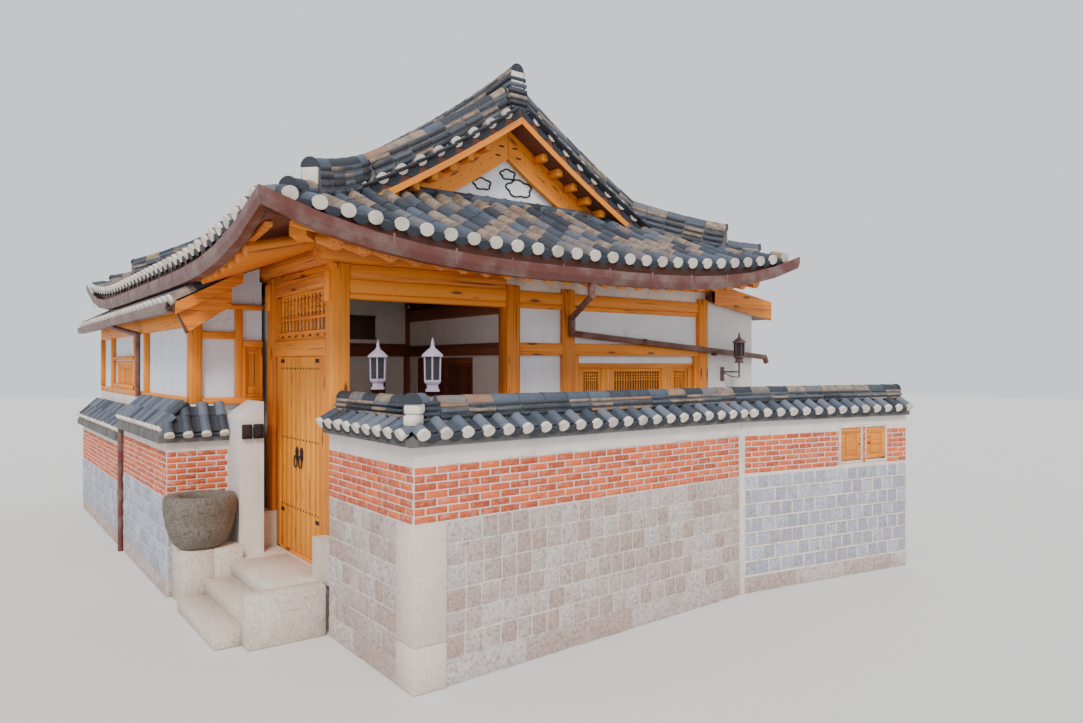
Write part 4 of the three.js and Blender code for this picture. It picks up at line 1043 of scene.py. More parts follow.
@dataclass
class MainRoof:
    """Tiles of the four slopes and the tile ends along the gable."""

    plan: RoofPlan = field(default_factory=RoofPlan)
    rows: TileRows = field(default_factory=TileRows)

    def build(self) -> None:
        """Builds the tiles and the gable tile ends."""
        slopes = self.plan.slopes()
        for name in ("left", "right"):
            self.side(name, slopes[name])
        for name in ("front", "back"):
            self.skirt(name, slopes[name])
        self.gable_ends("front", self.plan.front + self.plan.verge, -1.0)
        self.gable_ends("back", self.plan.back - self.plan.verge, 1.0)

    def side(self, name: str, slope: Slope) -> None:
        """Tiles a side slope: hip rows stop on the diagonal, the others reach the ridge.

        Args:
            name: left or right.
            slope: The slope.
        """
        shape = Shape(f"tiles_{name}")
        plan = self.plan

        def stop(s: float) -> float:
            """Returns where the row ends."""
            near = min(s, slope.span - s)
            return near - 0.02 if near < plan.verge + 0.02 else plan.half - 0.09

        self.rows.cover_slope(shape, slope, self.plan.margin, slope.span - self.plan.margin, stop)
        shape.build("roof_tile", *ROOF_TILES)

    def skirt(self, name: str, slope: Slope) -> None:
        """Tiles the hipped foot under a gable.

        Args:
            name: front or back.
            slope: The slope.
        """
        shape = Shape(f"tiles_{name}_skirt")

        def stop(s: float) -> float:
            """Returns where the row ends."""
            return min(s - 0.02, slope.span - s - 0.02, self.plan.skirt)

        self.rows.cover_slope(shape, slope, self.plan.margin, slope.span - self.plan.margin, stop)
        y, z = slope.point(self.plan.calm, self.plan.skirt)[1:] - (0.0, 0.05)
        near, far = sorted((y - 0.16 * slope.inward[1], y - 0.02 * slope.inward[1]))
        cover = prism(arch(0.07, 0.075), 0.25, 0.94, True)
        for k in range(10):
            x = 1.42 + 0.257 * k + self.plan.west + 0.75
            shape.beam((x, near, z - 0.03), (x + 0.25, far, z + 0.035), 0.004)
            shape.place(cover, (x, (near + far) / 2, z + 0.04), (1, 0, 0), (0, 1, 0), UP)
        shape.build("roof_tile", *ROOF_TILES)

    def gable_ends(self, end: str, edge_y: float, out: float) -> None:
        """Sets the short cover tiles and plugs that finish both slopes over a gable.

        Args:
            end: front or back.
            edge_y: Y of the roof's edge.
            out: -1 at the front, 1 at the back.
        """
        shape, plan, back = Shape(f"gable_tile_ends_{end}"), self.plan, np.array([0.0, -out, 0.0])
        edge = TileSet(cover=0.072, pan=0.11)
        cover, pan = prism(arch(0.072, 0.08), 0.34, 0.94, True), prism(dish(0.11, 0.03, 0.03), 0.3, 0.98, True)
        for sign in (-1, 1):
            for k in range(10):
                d = plan.half - 0.20 - 0.228 * k
                x = plan.middle + sign * (plan.half - d)
                z = plan.height(plan.half, d)
                across = unit((-sign, 0.0, plan.grade + 2 * plan.sag * d))
                normal = unit(np.cross(across, (0, -1, 0)))
                normal = normal if normal[2] > 0 else -normal
                base = np.array([x, edge_y, z]) + normal * 0.01
                side = np.cross(normal, back)
                shape.place(cover, base, back, side, normal)
                shape.place(edge.plug(), base - back * 0.03, back, side, normal, slot=1)
                low = base - normal * 0.03 + across * 0.114
                # The pans and lips take low shades and the dark slot: painted shade between the cover tiles.
                shape.place(pan, low, back, side, normal, tone=0.2, slot=2)
                shape.place(edge.lip(), low + normal * 0.012 - back * 0.012, back, side, normal, tone=0.1, slot=2)
        shape.build("roof_tile", *ROOF_TILES)


@dataclass
class Ridge:
    """A ridge of flat tile courses under a row of cover tiles.

    Attributes:
        name: Name of the piece.
        path: X, Y, foot height and top height of its stations.
        node: Node that it stands for, if any.
        half: Half width of its courses.
        pitch: Height of one course.
        cap: Half width of the cover row.
    """

    name: str
    path: list[Four]
    node: str
    half: float = 0.118
    pitch: float = 0.07
    cap: float = 0.082

    def stations(self, spacing: float) -> list[tuple[np.ndarray, np.ndarray, float, float]]:
        """Walks the path at even steps.

        Args:
            spacing: Length of a step.

        Returns:
            The top point, its direction, the ridge's height and the step's length, a row each.
        """
        pts = [np.array([x, y, top]) for x, y, low, top in self.path]
        lows = [low for x, y, low, top in self.path]
        runs = [0.0]
        for a, b in zip(pts, pts[1:]):
            runs.append(runs[-1] + float(np.linalg.norm(b - a)))
        count = max(1, round(runs[-1] / spacing))
        step = runs[-1] / count

        def at(run: float) -> tuple[np.ndarray, float]:
            """Returns the top point and the foot's height after a run along the path.

            Args:
                run: Length walked.

            Returns:
                The point and the foot's height.
            """
            k = min(max(int(np.searchsorted(runs, run)), 1), len(runs) - 1)
            t = (run - runs[k - 1]) / (runs[k] - runs[k - 1])
            return pts[k - 1] * (1 - t) + pts[k] * t, lows[k - 1] * (1 - t) + lows[k] * t

        rows = []
        for n in range(count):
            a, low_a = at(n * step)
            b, low_b = at((n + 1) * step)
            tall = float(a[2] + b[2]) / 2 - (low_a + low_b) / 2
            rows.append((a, unit(b - a), tall, float(np.linalg.norm(b - a))))
        return rows

    def build(self) -> None:
        """Builds the core, the courses, the cover row and the ends."""
        shape = Shape(self.name)
        rows = self.stations(0.27)
        core = []
        for x, y, low, top in self.path:
            k = min(range(len(rows)), key=lambda i: float(np.hypot(rows[i][0][0] - x, rows[i][0][1] - y)))
            side = unit(np.cross(UP, rows[k][1])) * (self.half - 0.022)
            core.append(upright((x, y), side, low, top - 0.09))
        # The core's dark finish is painted shade in the gaps between the courses.
        shape.loft(core, slot=3)
        for top, ahead, tall, length in rows:
            side = unit(np.cross(UP, ahead))
            normal = np.cross(ahead, side)
            cover = prism(arch(self.cap, self.cap), length + 0.012, 0.92, True)
            shape.place(cover, top - normal * 0.09, ahead, side, normal)
            count = max(1, int((tall * float(normal[2]) - 0.1) / self.pitch))
            for course in range(count):
                wide = self.half * (1.0 if course else 0.86)
                form = block((0.004, -wide, -0.6 * self.pitch), (length - 0.004, wide, 0.0), 0.006)
                jog = side * shape.random.uniform(-0.004, 0.004)
                shape.place(form, top - normal * (0.092 + self.pitch * course) + jog, ahead, side, normal)
        for place, out in ((0, -rows[0][1]), (-1, rows[-1][1])):
            x, y, low, high = self.path[place]
            self.end(shape, np.array([x, y, high]), out, high - low)
        shape.build("roof_tile", *ROOF_TILES, "mortar_painted_shade", node=self.node)

    def end(self, shape: Shape, top: np.ndarray, out: np.ndarray, tall: float) -> None:
        """Closes an end with lime under an arched dark plate.

        Args:
            shape: Piece that gets it.
            top: Top point of the end.
            out: Direction out of the ridge.
            tall: Height of the ridge there.
        """
        flat = unit((out[0], out[1], 0.0))
        side = unit(np.cross(UP, flat))
        plate = prism(arch(self.cap + 0.006, self.cap + 0.01), 0.03)
        shape.place(plate, top - UP * 0.098 - flat * 0.012, flat, side, UP, 0.05, 2)
        height = min(0.2, max(0.06, tall - 0.1))
        form = block((0.0, -self.half * 0.72, -height), (0.022, self.half * 0.72, 0.0), 0.01)
        shape.place(form, top - UP * 0.1 - flat * 0.008, flat, side, UP, 0.5, 1)


def main_ridge_path(plan: RoofPlan) -> list[Four]:
    """Returns the stations of the ridge along the top of the house.

    Args:
        plan: The roof's outline.

    Returns:
        X, Y, foot and top height of each station.
    """
    centre, reach = (plan.front + plan.back) / 2, plan.front + plan.verge + 0.1
    parts = [k / 12 - 1 for k in range(25)]
    return [(plan.middle, centre + (centre - reach) * t, 5.15, 5.635 + 0.17 * abs(t) ** 3) for t in parts]


def corner_ridge_path(plan: RoofPlan, side: str, end: str, low_tier: bool) -> list[Four]:
    """Returns the stations of a ridge down the slope and out to a corner, or of its low tier.

    Args:
        plan: The roof's outline.
        side: left or right.
        end: front or back.
        low_tier: Whether it is the low tier at the corner.

    Returns:
        X, Y, foot and top height of each station.
    """
    if low_tier:
        rows = [(d, plan.front + d, plan.height(d, d), 0.19) for d in (0.6, 0.5, 0.4, 0.3)]
    else:
        rows = [(d, 2.62, plan.height(1.5, d), 0.4) for d in (3.3, 3.0, 2.7, 2.4, 2.2, 2.0, 1.8, 1.65)]
        rows += [(d, plan.front + d, plan.height(d, d), 0.4) for d in (1.5, 1.35, 1.2, 1.05, 0.9, 0.75, 0.6)]
    stations = []
    for d, y, z, tall in rows:
        x = plan.west + d
        x = plan.west + plan.east - x if side == "right" else x
        y = plan.front + plan.back - y if end == "back" else y
        stations.append((x, y, z - 0.04, z + tall))
    return stations


def build_ridges(plan: RoofPlan) -> None:
    """Builds the main ridge and the four corner ridges.

    Args:
        plan: The roof's outline.
    """
    Ridge("ridge_courses_main", main_ridge_path(plan), "main_ridge", half=0.125, pitch=0.075).build()
    for end in ("front", "back"):
        for side in ("left", "right"):
            upper, tier = (corner_ridge_path(plan, side, end, low) for low in (False, True))
            Ridge(f"ridge_courses_{end}_{side}", upper, f"ridge_{end}_{side}", half=0.105).build()
            Ridge(f"ridge_foot_{end}_{side}", tier, "", half=0.1).build()


# --- Carpentry ---


@dataclass(frozen=True)
class SquaredWork:
    """Squared posts, beams, boards or slabs that make one piece.

    Attributes:
        name: Name of the piece.
        node: Node that it stands for, if any.
        boxes: X, Y and Z from and to of each.
        slot: Material slot of the record.
        finish: Its material.
        bevel: Width of the worn edges.
        tone: Shade, 0 to 1. Random if not given.
        shades: Range of the random shade, if it isn't 0 to 1.
    """

    name: str
    node: str
    boxes: Sequence[Box]
    slot: str = "pine"
    finish: str = "pine_orange"
    bevel: float = 0.008
    tone: float | None = None
    shades: Pair | None = None

    def build(self) -> None:
        """Builds them as one piece."""
        shape = Shape(self.name)
        for x0, x1, y0, y1, z0, z1 in self.boxes:
            tone = shape.random.uniform(*self.shades) if self.shades else self.tone
            shape.beam((x0, y0, z0), (x1, y1, z1), self.bevel, tone)
        shape.build(self.slot, self.finish, node=self.node)


FRAMES = (
    SquaredWork("gate_timber", "gate_frame", (
        (0.15, 0.33, 1.95, 2.13, 0.52, 3.1488), (0.15, 0.33, 3.72, 3.90, 0.52, 3.1488),
        (0.17, 0.30, 2.125, 3.725, 2.93, 3.1488), (0.17, 0.30, 2.125, 3.725, 2.26, 2.43),
        (0.19, 0.27, 2.132, 2.395, 0.13, 2.265), (0.19, 0.27, 3.555, 3.688, 0.13, 2.265),
        (0.19, 0.27, 3.66, 3.725, 0.52, 2.265), (0.19, 0.27, 2.131, 3.689, 0.13, 0.16),
        (0.118, 0.155, 1.98, 2.10, 2.78, 3.08), (0.118, 0.155, 3.75, 3.87, 2.78, 3.08))),
    SquaredWork("front_timber", "front_frame", (
        *((x, x + 0.18, 1.94, 2.12, 0.13, 3.0488) for x in (2.16, 2.95, 5.27)),
        (0.33, 5.45, 1.955, 2.10, 2.868, 3.0), (0.33, 5.45, 1.965, 2.10, 2.81, 2.866),
        *((x0, x1, 1.945, 1.9997, z0, z1) for x0, x1 in ((2.338, 2.952), (3.128, 5.272))
          for z0, z1 in ((2.28, 2.42), (0.90, 1.02))),
        (3.128, 3.2, 1.955, 1.9997, 1.02, 2.28), (5.2, 5.272, 1.955, 1.9997, 1.02, 2.28))),
    SquaredWork("rear_timber", "rear_frame", (
        *((5.40, 5.45, y, y + 0.18, 0.13, 2.815) for y in (4.10, 7.00)), (5.40, 5.4495, 9.97, 10.0895, 0.13, 2.815),
        *((x, x + 0.18, 10.09, 10.15, 0.13, 2.815) for x in (-0.20, 2.50, 5.27)),
        (5.29, 5.43, 2.12, 10.13, 2.81, 3.1488), (-0.20, 5.43, 9.99, 10.13, 2.81, 3.1488),
        (5.40, 5.445, 2.20, 10.145, 2.28, 2.42), (-0.48, 5.445, 10.09, 10.145, 2.28, 2.42))),
    SquaredWork("wing_timber", "wing_frame", (
        *((-0.665, -0.60, y, y + 0.10, 1.80, 2.605) for y in (6.5, 9.25, 10.36)),
        (-0.668, -0.53, 3.992, 4.12, 1.721, 2.845),
        (-0.66, -0.60, 4.10, 10.45, 1.72, 1.80), (-0.66, -0.52, 4.10, 10.45, 2.60, 2.839),
        (-0.655, -0.60, 7.34, 9.25, 1.80, 1.87), (-0.655, -0.60, 7.34, 9.25, 2.24, 2.30),
        (-0.655, -0.60, 7.30, 7.42, 1.80, 2.60),
        (-0.17, -0.09, 3.996, 4.06, 1.80, 2.80), (-0.54, 0.14, 4.0, 4.06, 2.80, 2.86),
        (-0.09, 0.14, 4.002, 4.06, 2.37, 2.45), (-0.54, -0.17, 4.002, 4.06, 2.46, 2.54),
        (-0.54, 0.14, 4.0, 4.06, 1.72, 1.80),
        (-0.095, -0.05, 3.99, 4.05, 1.795, 2.375), (0.10, 0.135, 3.99, 4.05, 1.795, 2.375))),
    # The hall's timbers take the darker pine: painted shade for the inside of the hall.
    SquaredWork("hall_timber", "hall_frame", (
        (2.16, 2.34, 4.36, 4.54, 0.13, 2.90), (2.18, 2.32, 2.12, 4.365, 2.745, 2.90),
        (2.165, 2.215, 2.12, 4.365, 2.28, 2.42), (0.33, 2.165, 4.38, 4.44, 2.28, 2.45),
        (1.69, 1.87, 4.38, 4.44, 0.13, 2.2795)), "shaded_pine", "pine_shade"),
)
PLAIN_WORK = (
    SquaredWork("front_plaster_band", "", ((2.18, 5.445, 1.99, 2.09, 3.001, 3.148),), "plaster", "lime", 0.003, 0.5),
    SquaredWork("front_lintel", "", ((0.335, 2.176, 1.965, 2.09, 3.001, 3.148),), bevel=0.006),
    SquaredWork("hall_plaster_head", "", ((0.332, 2.158, 4.382, 4.4395, 2.452, 3.13),), "plaster", "plaster_wall",
                0.003, 0.5),
    SquaredWork("wing_cap_fillet", "", ((-0.735, -0.664, 3.95, 6.42, 1.675, 1.735),
                                        (-0.735, -0.664, 6.42, 10.44, 1.50, 1.56),
                                        (-0.70, -0.305, 3.945, 3.99, 1.675, 1.735)), "plaster", "lime", 0.012, 0.5),
)


@dataclass
class Rafters:
    """Round rafters, purlins, eave laths and hip rafters of one side.

    Attributes:
        name: Slope that they carry.
        plan: The roof's outline.
        purlin: Distance inward of the purlin.
        first_purlin: Distance inward of the purlin at the start of the eave.
        last_purlin: Distance inward of the purlin at its end.
    """

    name: str
    plan: RoofPlan
    purlin: float
    first_purlin: float
    last_purlin: float
    purlin_height: float = 3.26
    pitch: float = 0.256
    radius: float = 0.068
    tip: float = 0.08

    def build(self) -> None:
        """Builds the piece and stands it for its node."""
        slope = self.plan.slopes()[self.name]
        shape = Shape(f"rafters_round_{self.name}")
        half = slope.span / 2
        count = math.floor((half - 0.56) / self.pitch)
        for k in range(-count, count + 1):
            s = half + k * self.pitch
            if self.name == "right" and abs(self.plan.front + s - 1.8825) < 0.15:
                continue
            self.rafter(shape, slope, s)
        self.lath(shape, slope)
        inset = 0.111 if self.name in ("left", "right") else -0.2
        ends = (self.first_purlin + inset, slope.span - self.last_purlin - inset)
        shape.log([(*slope.point(s, self.purlin)[:2], self.purlin_height) for s in ends], 0.12, 20)
        if self.name in ("front", "back"):
            self.hips(shape, slope)
        shape.build("pine", "pine_rafter", "board_soffit", node=f"rafters_{self.name}")

    def rafter(self, shape: Shape, slope: Slope, s: float) -> None:
        """Adds one rafter, its end cut square.

        Args:
            shape: Piece that gets it.
            slope: The slope.
            s: Place along the eave.
        """
        near = min(s, slope.span - s)
        end = min(1.5, near - 0.23)
        foot = self.plan.height(near, self.tip) - self.plan.slab - 0.036 - self.radius + 0.004
        grade = (3.42 - foot) / (self.purlin - self.tip)
        a, b = slope.point(s, self.tip), slope.point(s, end)
        low = np.array([a[0], a[1], foot])
        high = np.array([b[0], b[1], foot + grade * (end - self.tip)])
        shape.log([low, high], self.radius, 14)

    def lath(self, shape: Shape, slope: Slope) -> None:
        """Adds the lath that lies on the rafter ends along the curved eave.

        Args:
            shape: Piece that gets it.
            slope: The slope.
        """
        rings = []
        for k in range(31):
            s = 0.26 + (slope.span - 0.52) * k / 30
            top = self.plan.height(min(s, slope.span - s), 0.09) - 0.178
            a, b = slope.point(s, 0.09), slope.point(s, 0.15)
            corners = ((a, top - 0.036), (b, top - 0.036), (b, top), (a, top))
            rings.append(np.array([[p[0], p[1], z] for p, z in corners]))
        shape.loft(rings)

    def hips(self, shape: Shape, slope: Slope) -> None:
        """Adds the squared hip rafter at each corner of this eave.

        Args:
            shape: Piece that gets them.
            slope: The slope.
        """
        for mirrored in (False, True):
            rings = []
            for d in (0.42, 0.55, 0.7, 0.85, 1.0, 1.15, 1.308):
                s = slope.span - d if mirrored else d
                along = -slope.along[0] if mirrored else slope.along[0]
                side = unit((along - slope.inward[0], slope.along[1] - slope.inward[1], 0.0)) * 0.08
                top = self.plan.height(d, d) - self.plan.slab
                rings.append(upright(slope.point(s, d), side, top - (0.21 if d > 0.43 else 0.15), top))
            shape.loft(rings)


@dataclass
class GableBoards:
    """The two big boards, short rafter ends, staples and cloud outlines of a gable.

    Attributes:
        plan: The roof's outline.
        end: front or back.
        half: How far a board reaches from the middle.
        depth: Height of a board at the middle.
        face: Y of the boards' outer face at the front gable.
        thick: Thickness of a board.
    """

    plan: RoofPlan
    end: str
    half: float = 1.47
    depth: float = 0.37
    face: float = 2.72
    thick: float = 0.06

    def flip(self, y: float) -> float:
        """Returns a place at the front, or the same place at the back."""
        return self.plan.front + self.plan.back - y if self.end == "back" else y

    def top(self, x: float) -> float:
        """Returns the height of the slab's lower side at a distance from the middle."""
        return self.plan.height(self.plan.calm, self.plan.half - x) - self.plan.slab

    def build(self) -> None:
        """Builds the boards in place of their node, then the small work on them."""
        shape = Shape(f"gable_boards_pine_{self.end}")
        for sign in (-1, 1):
            self.board(shape, sign)
            for k in range(6):
                self.peg(shape, sign, 0.42 + 0.235 * k, (0.045, 0.008), 0.2, (-0.085, 0.01))
            for x, fall in ((0.10, 0.16), (0.15, 0.24)):
                self.peg(shape, sign, x, (0.035, 0.003), 0.015, (-0.007, 0.007), fall)
            for k in range(9):
                for fall in (0.09, 0.22):
                    self.peg(shape, sign, 0.25 + 0.14 * k, (0.006, 0.002), 0.006, (-0.006, 0.006), fall)
        shape.build("pine", "pine_orange", "iron_black", node=f"gable_boards_{self.end}")
        self.verge()
        if self.end == "front":
            self.clouds()

    def board(self, shape: Shape, sign: int) -> None:
        """Adds the board of one side, deep at the middle and shallow at its foot.

        Args:
            shape: Piece that gets it.
            sign: -1 for the left side, 1 for the right.
        """
        rings, grain, run, before = [], [], 0.0, None
        for k in range(25):
            x = 0.004 + (self.half - 0.004) * k / 24
            top, tall = self.top(x), self.depth * (1 - 0.35 * (x / self.half) ** 3)
            point = np.array([x, top])
            run += 0.0 if before is None else float(np.linalg.norm(point - before))
            before = point
            corners = [(0.0, -tall), (self.thick, -tall), (self.thick, 0.0), (0.0, 0.0)]
            rings.append(np.array([[self.plan.middle + sign * x, self.flip(self.face + y), top + z] for y,
                                   z in corners]))
            grain.append(np.array([[run, y, z] for y, z in corners]))
        shape.loft(rings, grain=np.vstack(grain))

    def peg(self, shape: Shape, sign: int, x: float, size: Pair, proud: float, z: Pair, fall: float = 0.0) -> None:
        """Adds a rafter end, or a staple in the board below the slab.

        Args:
            shape: Piece that gets it.
            sign: Side of the gable.
            x: Distance from the middle.
            size: Half its width, and its bevel.
            proud: How far it stands out of the board.
            z: From and to, against its own height.
            fall: How far a staple lies below the slab's lower side. 0 for a rafter end.
        """
        centre, top, (a, b) = self.plan.middle + sign * x, self.top(x) - fall, sorted(map(self.flip,
                                                                                          (self.face - proud,
                                                                                           self.face + 0.002)))
        low, high = (centre - size[0], a, top + z[0]), (centre + size[0], b, top + z[1])
        shape.beam(low, high, size[1], slot=1 if fall else 0, axis=None if fall else 1)

    def verge(self) -> None:
        """Builds the battens that face the roof's edge over the gable."""
        face, out = self.flip(self.plan.front + self.plan.verge), 1.0 if self.end == "back" else -1.0
        corners = [(0.010, -0.165), (-0.002, -0.165), (-0.002, -0.085), (0.010, -0.085)]
        shape = Shape(f"verge_battens_{self.end}")
        for sign in (-1, 1):
            places = [0.003 + 1.93 * k / 20 for k in range(21)]
            rings = []
            for x in places:
                top = self.plan.height(self.plan.calm, self.plan.half - x) - 0.012
                rings.append(np.array([[self.plan.middle + sign * x, face + out * y, top + z] for y, z in corners]))
            shape.loft(rings, grain=np.array([[1.25 * x, y, z] for x in places for y, z in corners]))
        shape.build("pine", "pine_orange")

    def clouds(self) -> None:
        """Draws three plain cloud outlines on the plaster as thin raised lines."""
        shape = Shape("gable_cloud_lines")
        for x, z, wide in ((0.045, 4.52, 0.11), (-0.33, 4.355, 0.125), (0.214, 4.365, 0.19)):
            ring = []
            for a in turn(60):
                puff = 0.82 + 0.24 * abs(math.sin(2.5 * a + 0.4))
                across, up = wide * math.cos(a) * puff, 0.55 * wide * math.sin(a) * puff
                ring.append(np.array([self.plan.middle + x + across, 2.794, z + up]))
            shape.hoop(ring, (0, 1, 0), ((-0.009, -0.006), (0.009, -0.006), (0.009, 0.006), (-0.009, 0.006)))
        shape.build("plaster", "iron_black")


@dataclass(frozen=True)
class Pane:
    """A lattice pane between two places along a window."""

    start: float
    stop: float
    bars: int
    ranks: int


@dataclass
class LatticeWindow:
    """A pine window with fine lattice over paper.

    Attributes:
        name: Name of the piece.
        node: Node that it stands for, or nothing.
        origin: Lowest corner of the window.
        size: Length along the wall, thickness and height.
        turned: Whether the wall runs along Y.
        outward: 1 or -1, the side of the wall that the lattice faces.
        panes: Its panes.
        rim: Width of the frame.
        foot: Height of the plain board under the lattice.
    """

    name: str
    node: str
    origin: Triple
    size: Triple
    turned: bool
    outward: int
    panes: tuple[Pane, ...]
    rim: float = 0.07
    foot: float = 0.0
    finish: str = "pine_lattice"
    slot: str = "lattice_pine"

    def put(self, shape: Shape, u: Pair, w: Pair, z: Pair, slot: int = 0, bevel: float = 0.004) -> None:
        """Adds a bar by its place along the wall, through it and up it.

        Args:
            shape: Piece that gets it.
            u: From and to along the wall.
            w: From and to through the wall.
            z: From and to over the window's foot.
            slot: Number of the finish.
            bevel: Width of the bevel.
        """
        thick = self.size[1]
        depth = w if self.outward < 0 else (thick - w[1], thick - w[0])
        low = (u[0], depth[0], z[0]) if not self.turned else (depth[0], u[0], z[0])
        high = (u[1], depth[1], z[1]) if not self.turned else (depth[1], u[1], z[1])
        base = np.array(self.origin)
        shape.beam(base + low, base + high, bevel, slot=slot)

    def build(self) -> None:
        """Builds the frame, the bars and the paper."""
        shape = Shape(self.name)
        long, thick, tall = self.size
        self.put(shape, (0, long), (0, thick), (0, self.rim))
        self.put(shape, (0, long), (0, thick), (tall - self.rim, tall))
        edges = sorted({0.0, long, *(p.start for p in self.panes), *(p.stop for p in self.panes)})
        inside = [(p.start, p.stop) for p in self.panes]
        for a, b in zip(edges, edges[1:]):
            if (a, b) not in inside:
                self.put(shape, (a, b), (0, thick), (self.rim, tall - self.rim))
        for pane in self.panes:
            self.pane(shape, pane)
        shape.build(self.slot, self.finish, "pane_dark", node=self.node)

    def pane(self, shape: Shape, pane: Pane) -> None:
        """Builds one sash: its stiles, rails, lattice, foot board and paper.

        Args:
            shape: Piece that gets it.
            pane: Its place and its bars.
        """
        thick, tall = self.size[1:]
        low, high, sash = self.rim, tall - self.rim, 0.035
        a, b = pane.start, pane.stop
        for u in ((a, a + sash), (b - sash, b)):
            self.put(shape, u, (0.012, thick - 0.012), (low, high), bevel=0.003)
        for z in ((low, low + sash), (high - sash, high)):
            self.put(shape, (a + sash, b - sash), (0.012, thick - 0.012), z, bevel=0.003)
        start = low + sash + self.foot
        if self.foot:
            self.put(shape, (a + sash, b - sash), (0.02, thick - 0.02), (low + sash, start))
        wide, top = b - a - 2 * sash, high - sash
        for k in range(1, pane.bars + 1):
            u = a + sash + wide * k / (pane.bars + 1)
            self.put(shape, (u - 0.006, u + 0.006), (0.018, 0.036), (start, top), bevel=0.001)
        for k in range(1, pane.ranks + 1):
            group, place = divmod(k - 1, 3)
            middle = start + (top - start) * (0.12 + 0.76 * group / (pane.ranks / 3 - 1))
            z = middle + 0.034 * (place - 1)
            self.put(shape, (a + sash, b - sash), (0.02, 0.034), (z - 0.006, z + 0.006), bevel=0.001)
        self.put(shape, (a + sash, b - sash), (0.037, 0.041), (start, top), 1, 0.0005)


WINDOWS = (
    LatticeWindow("window_street", "front_window", (3.2, 1.99, 1.3), (2.0, 0.08, 0.89), False, -1,
                  (Pane(0.075, 0.373, 6, 9), Pane(0.568, 1.417, 17, 9), Pane(1.619, 1.90, 6, 9)), foot=0.10),
    LatticeWindow("window_right", "right_window", (5.31, 5.2, 1.0), (1.5, 0.08, 1.19), True, 1,
                  (Pane(0.075, 0.70, 13, 12), Pane(0.80, 1.425, 13, 12))),
    LatticeWindow("window_back", "back_window", (1.95, 10.005, 1.0), (1.5, 0.08, 1.19), False, 1,
                  (Pane(0.075, 0.70, 13, 12), Pane(0.80, 1.425, 13, 12))),
    LatticeWindow("window_wing", "wing_window_side", (-0.59, 7.42, 1.48), (1.76, 0.07, 0.75), True, -1,
                  (Pane(0.07, 0.38, 6, 9), Pane(0.47, 1.30, 17, 9), Pane(1.38, 1.69, 6, 9))),
    # The hall door takes the darker pine as painted shade.
    LatticeWindow("hall_lattice_door", "hall_door", (2.22, 2.75, 0.13), (1.4, 0.06, 2.13), True, -1,
                  (Pane(0.075, 0.66, 12, 15), Pane(0.74, 1.325, 12, 15)), foot=0.35, finish="pine_shade",
                  slot="shaded_pine"),
    LatticeWindow("window_gate_side", "", (-0.088, 4.012, 1.802), (0.226, 0.05, 0.566), False, -1,
                  (Pane(0.03, 0.196, 7, 15),), rim=0.035, foot=0.05),
)


# --- Gate ---


@dataclass
class Transom:
    """The open work over the gate: turned bars above a pierced board."""

    y: Pair = (2.13, 3.72)
    bars: int = 13

    def build(self) -> None:
        """Builds the transom."""
        shape = Shape("transom_turned_bars")
        y0, y1 = self.y
        for low, high in ((2.43, 2.455), (2.50, 2.525), (2.645, 2.675), (2.905, 2.93)):
            shape.beam((0.205, y0, low), (0.255, y1, high), 0.005)
        for y in (y0, y1 - 0.06):
            shape.beam((0.2, y, 2.43), (0.26, y + 0.06, 2.93), 0.006)
        places = [y0 + 0.06 + (y1 - y0 - 0.12) / (self.bars + 1) * k for k in range(1, self.bars + 1)]
        profile = [(0.018, 0.0), (0.018, 0.022), (0.011, 0.032), (0.021, 0.062), (0.015, 0.09), (0.023, 0.115),
                   (0.015, 0.14), (0.021, 0.17), (0.011, 0.20), (0.018, 0.21), (0.018, 0.231)]
        for y in places:
            shape.lathe((0.23, y, 2.6745), profile, 12)
        for y in places:
            shape.beam((0.22, y - 0.016, 2.5245), (0.24, y + 0.016, 2.6455), 0.003)
        wide, foot, head = (y1 - y0 - 0.12) / 7, 2.4545, 2.5005
        for k in range(7):
            self.cell(shape, y0 + 0.06 + wide * k, wide, foot, head)
        shape.build("pine", "pine_orange", node="gate_transom")

    def cell(self, shape: Shape, a: float, wide: float, foot: float, head: float) -> None:
        """Adds one cell of the pierced board: a lozenge left open between four quarters.

        Args:
            shape: Piece that gets it.
            a: Its start along the gate.
            wide: Its width.
            foot: Its foot.
            head: Its top.
        """
        b, mid, reach, half, centre = a + wide, a + wide / 2, wide * 0.3, 0.019, (foot + head) / 2
        low, right, top, left = (mid, centre - half), (mid + reach, centre), (mid, centre + half), (mid - reach, centre)
        for quarter in (((a, foot), (mid, foot), low, left, (a, centre)),
                        ((mid, foot), (b, foot), (b, centre), right, low),
                        ((b, centre), (b, head), (mid, head), top, right),
                        ((mid, head), (a, head), (a, centre), left, top)):
            near = np.array([[0.22, y, z] for y, z in quarter])
            shape.loft([near, near + np.array([0.02, 0, 0])], tone=0.5)


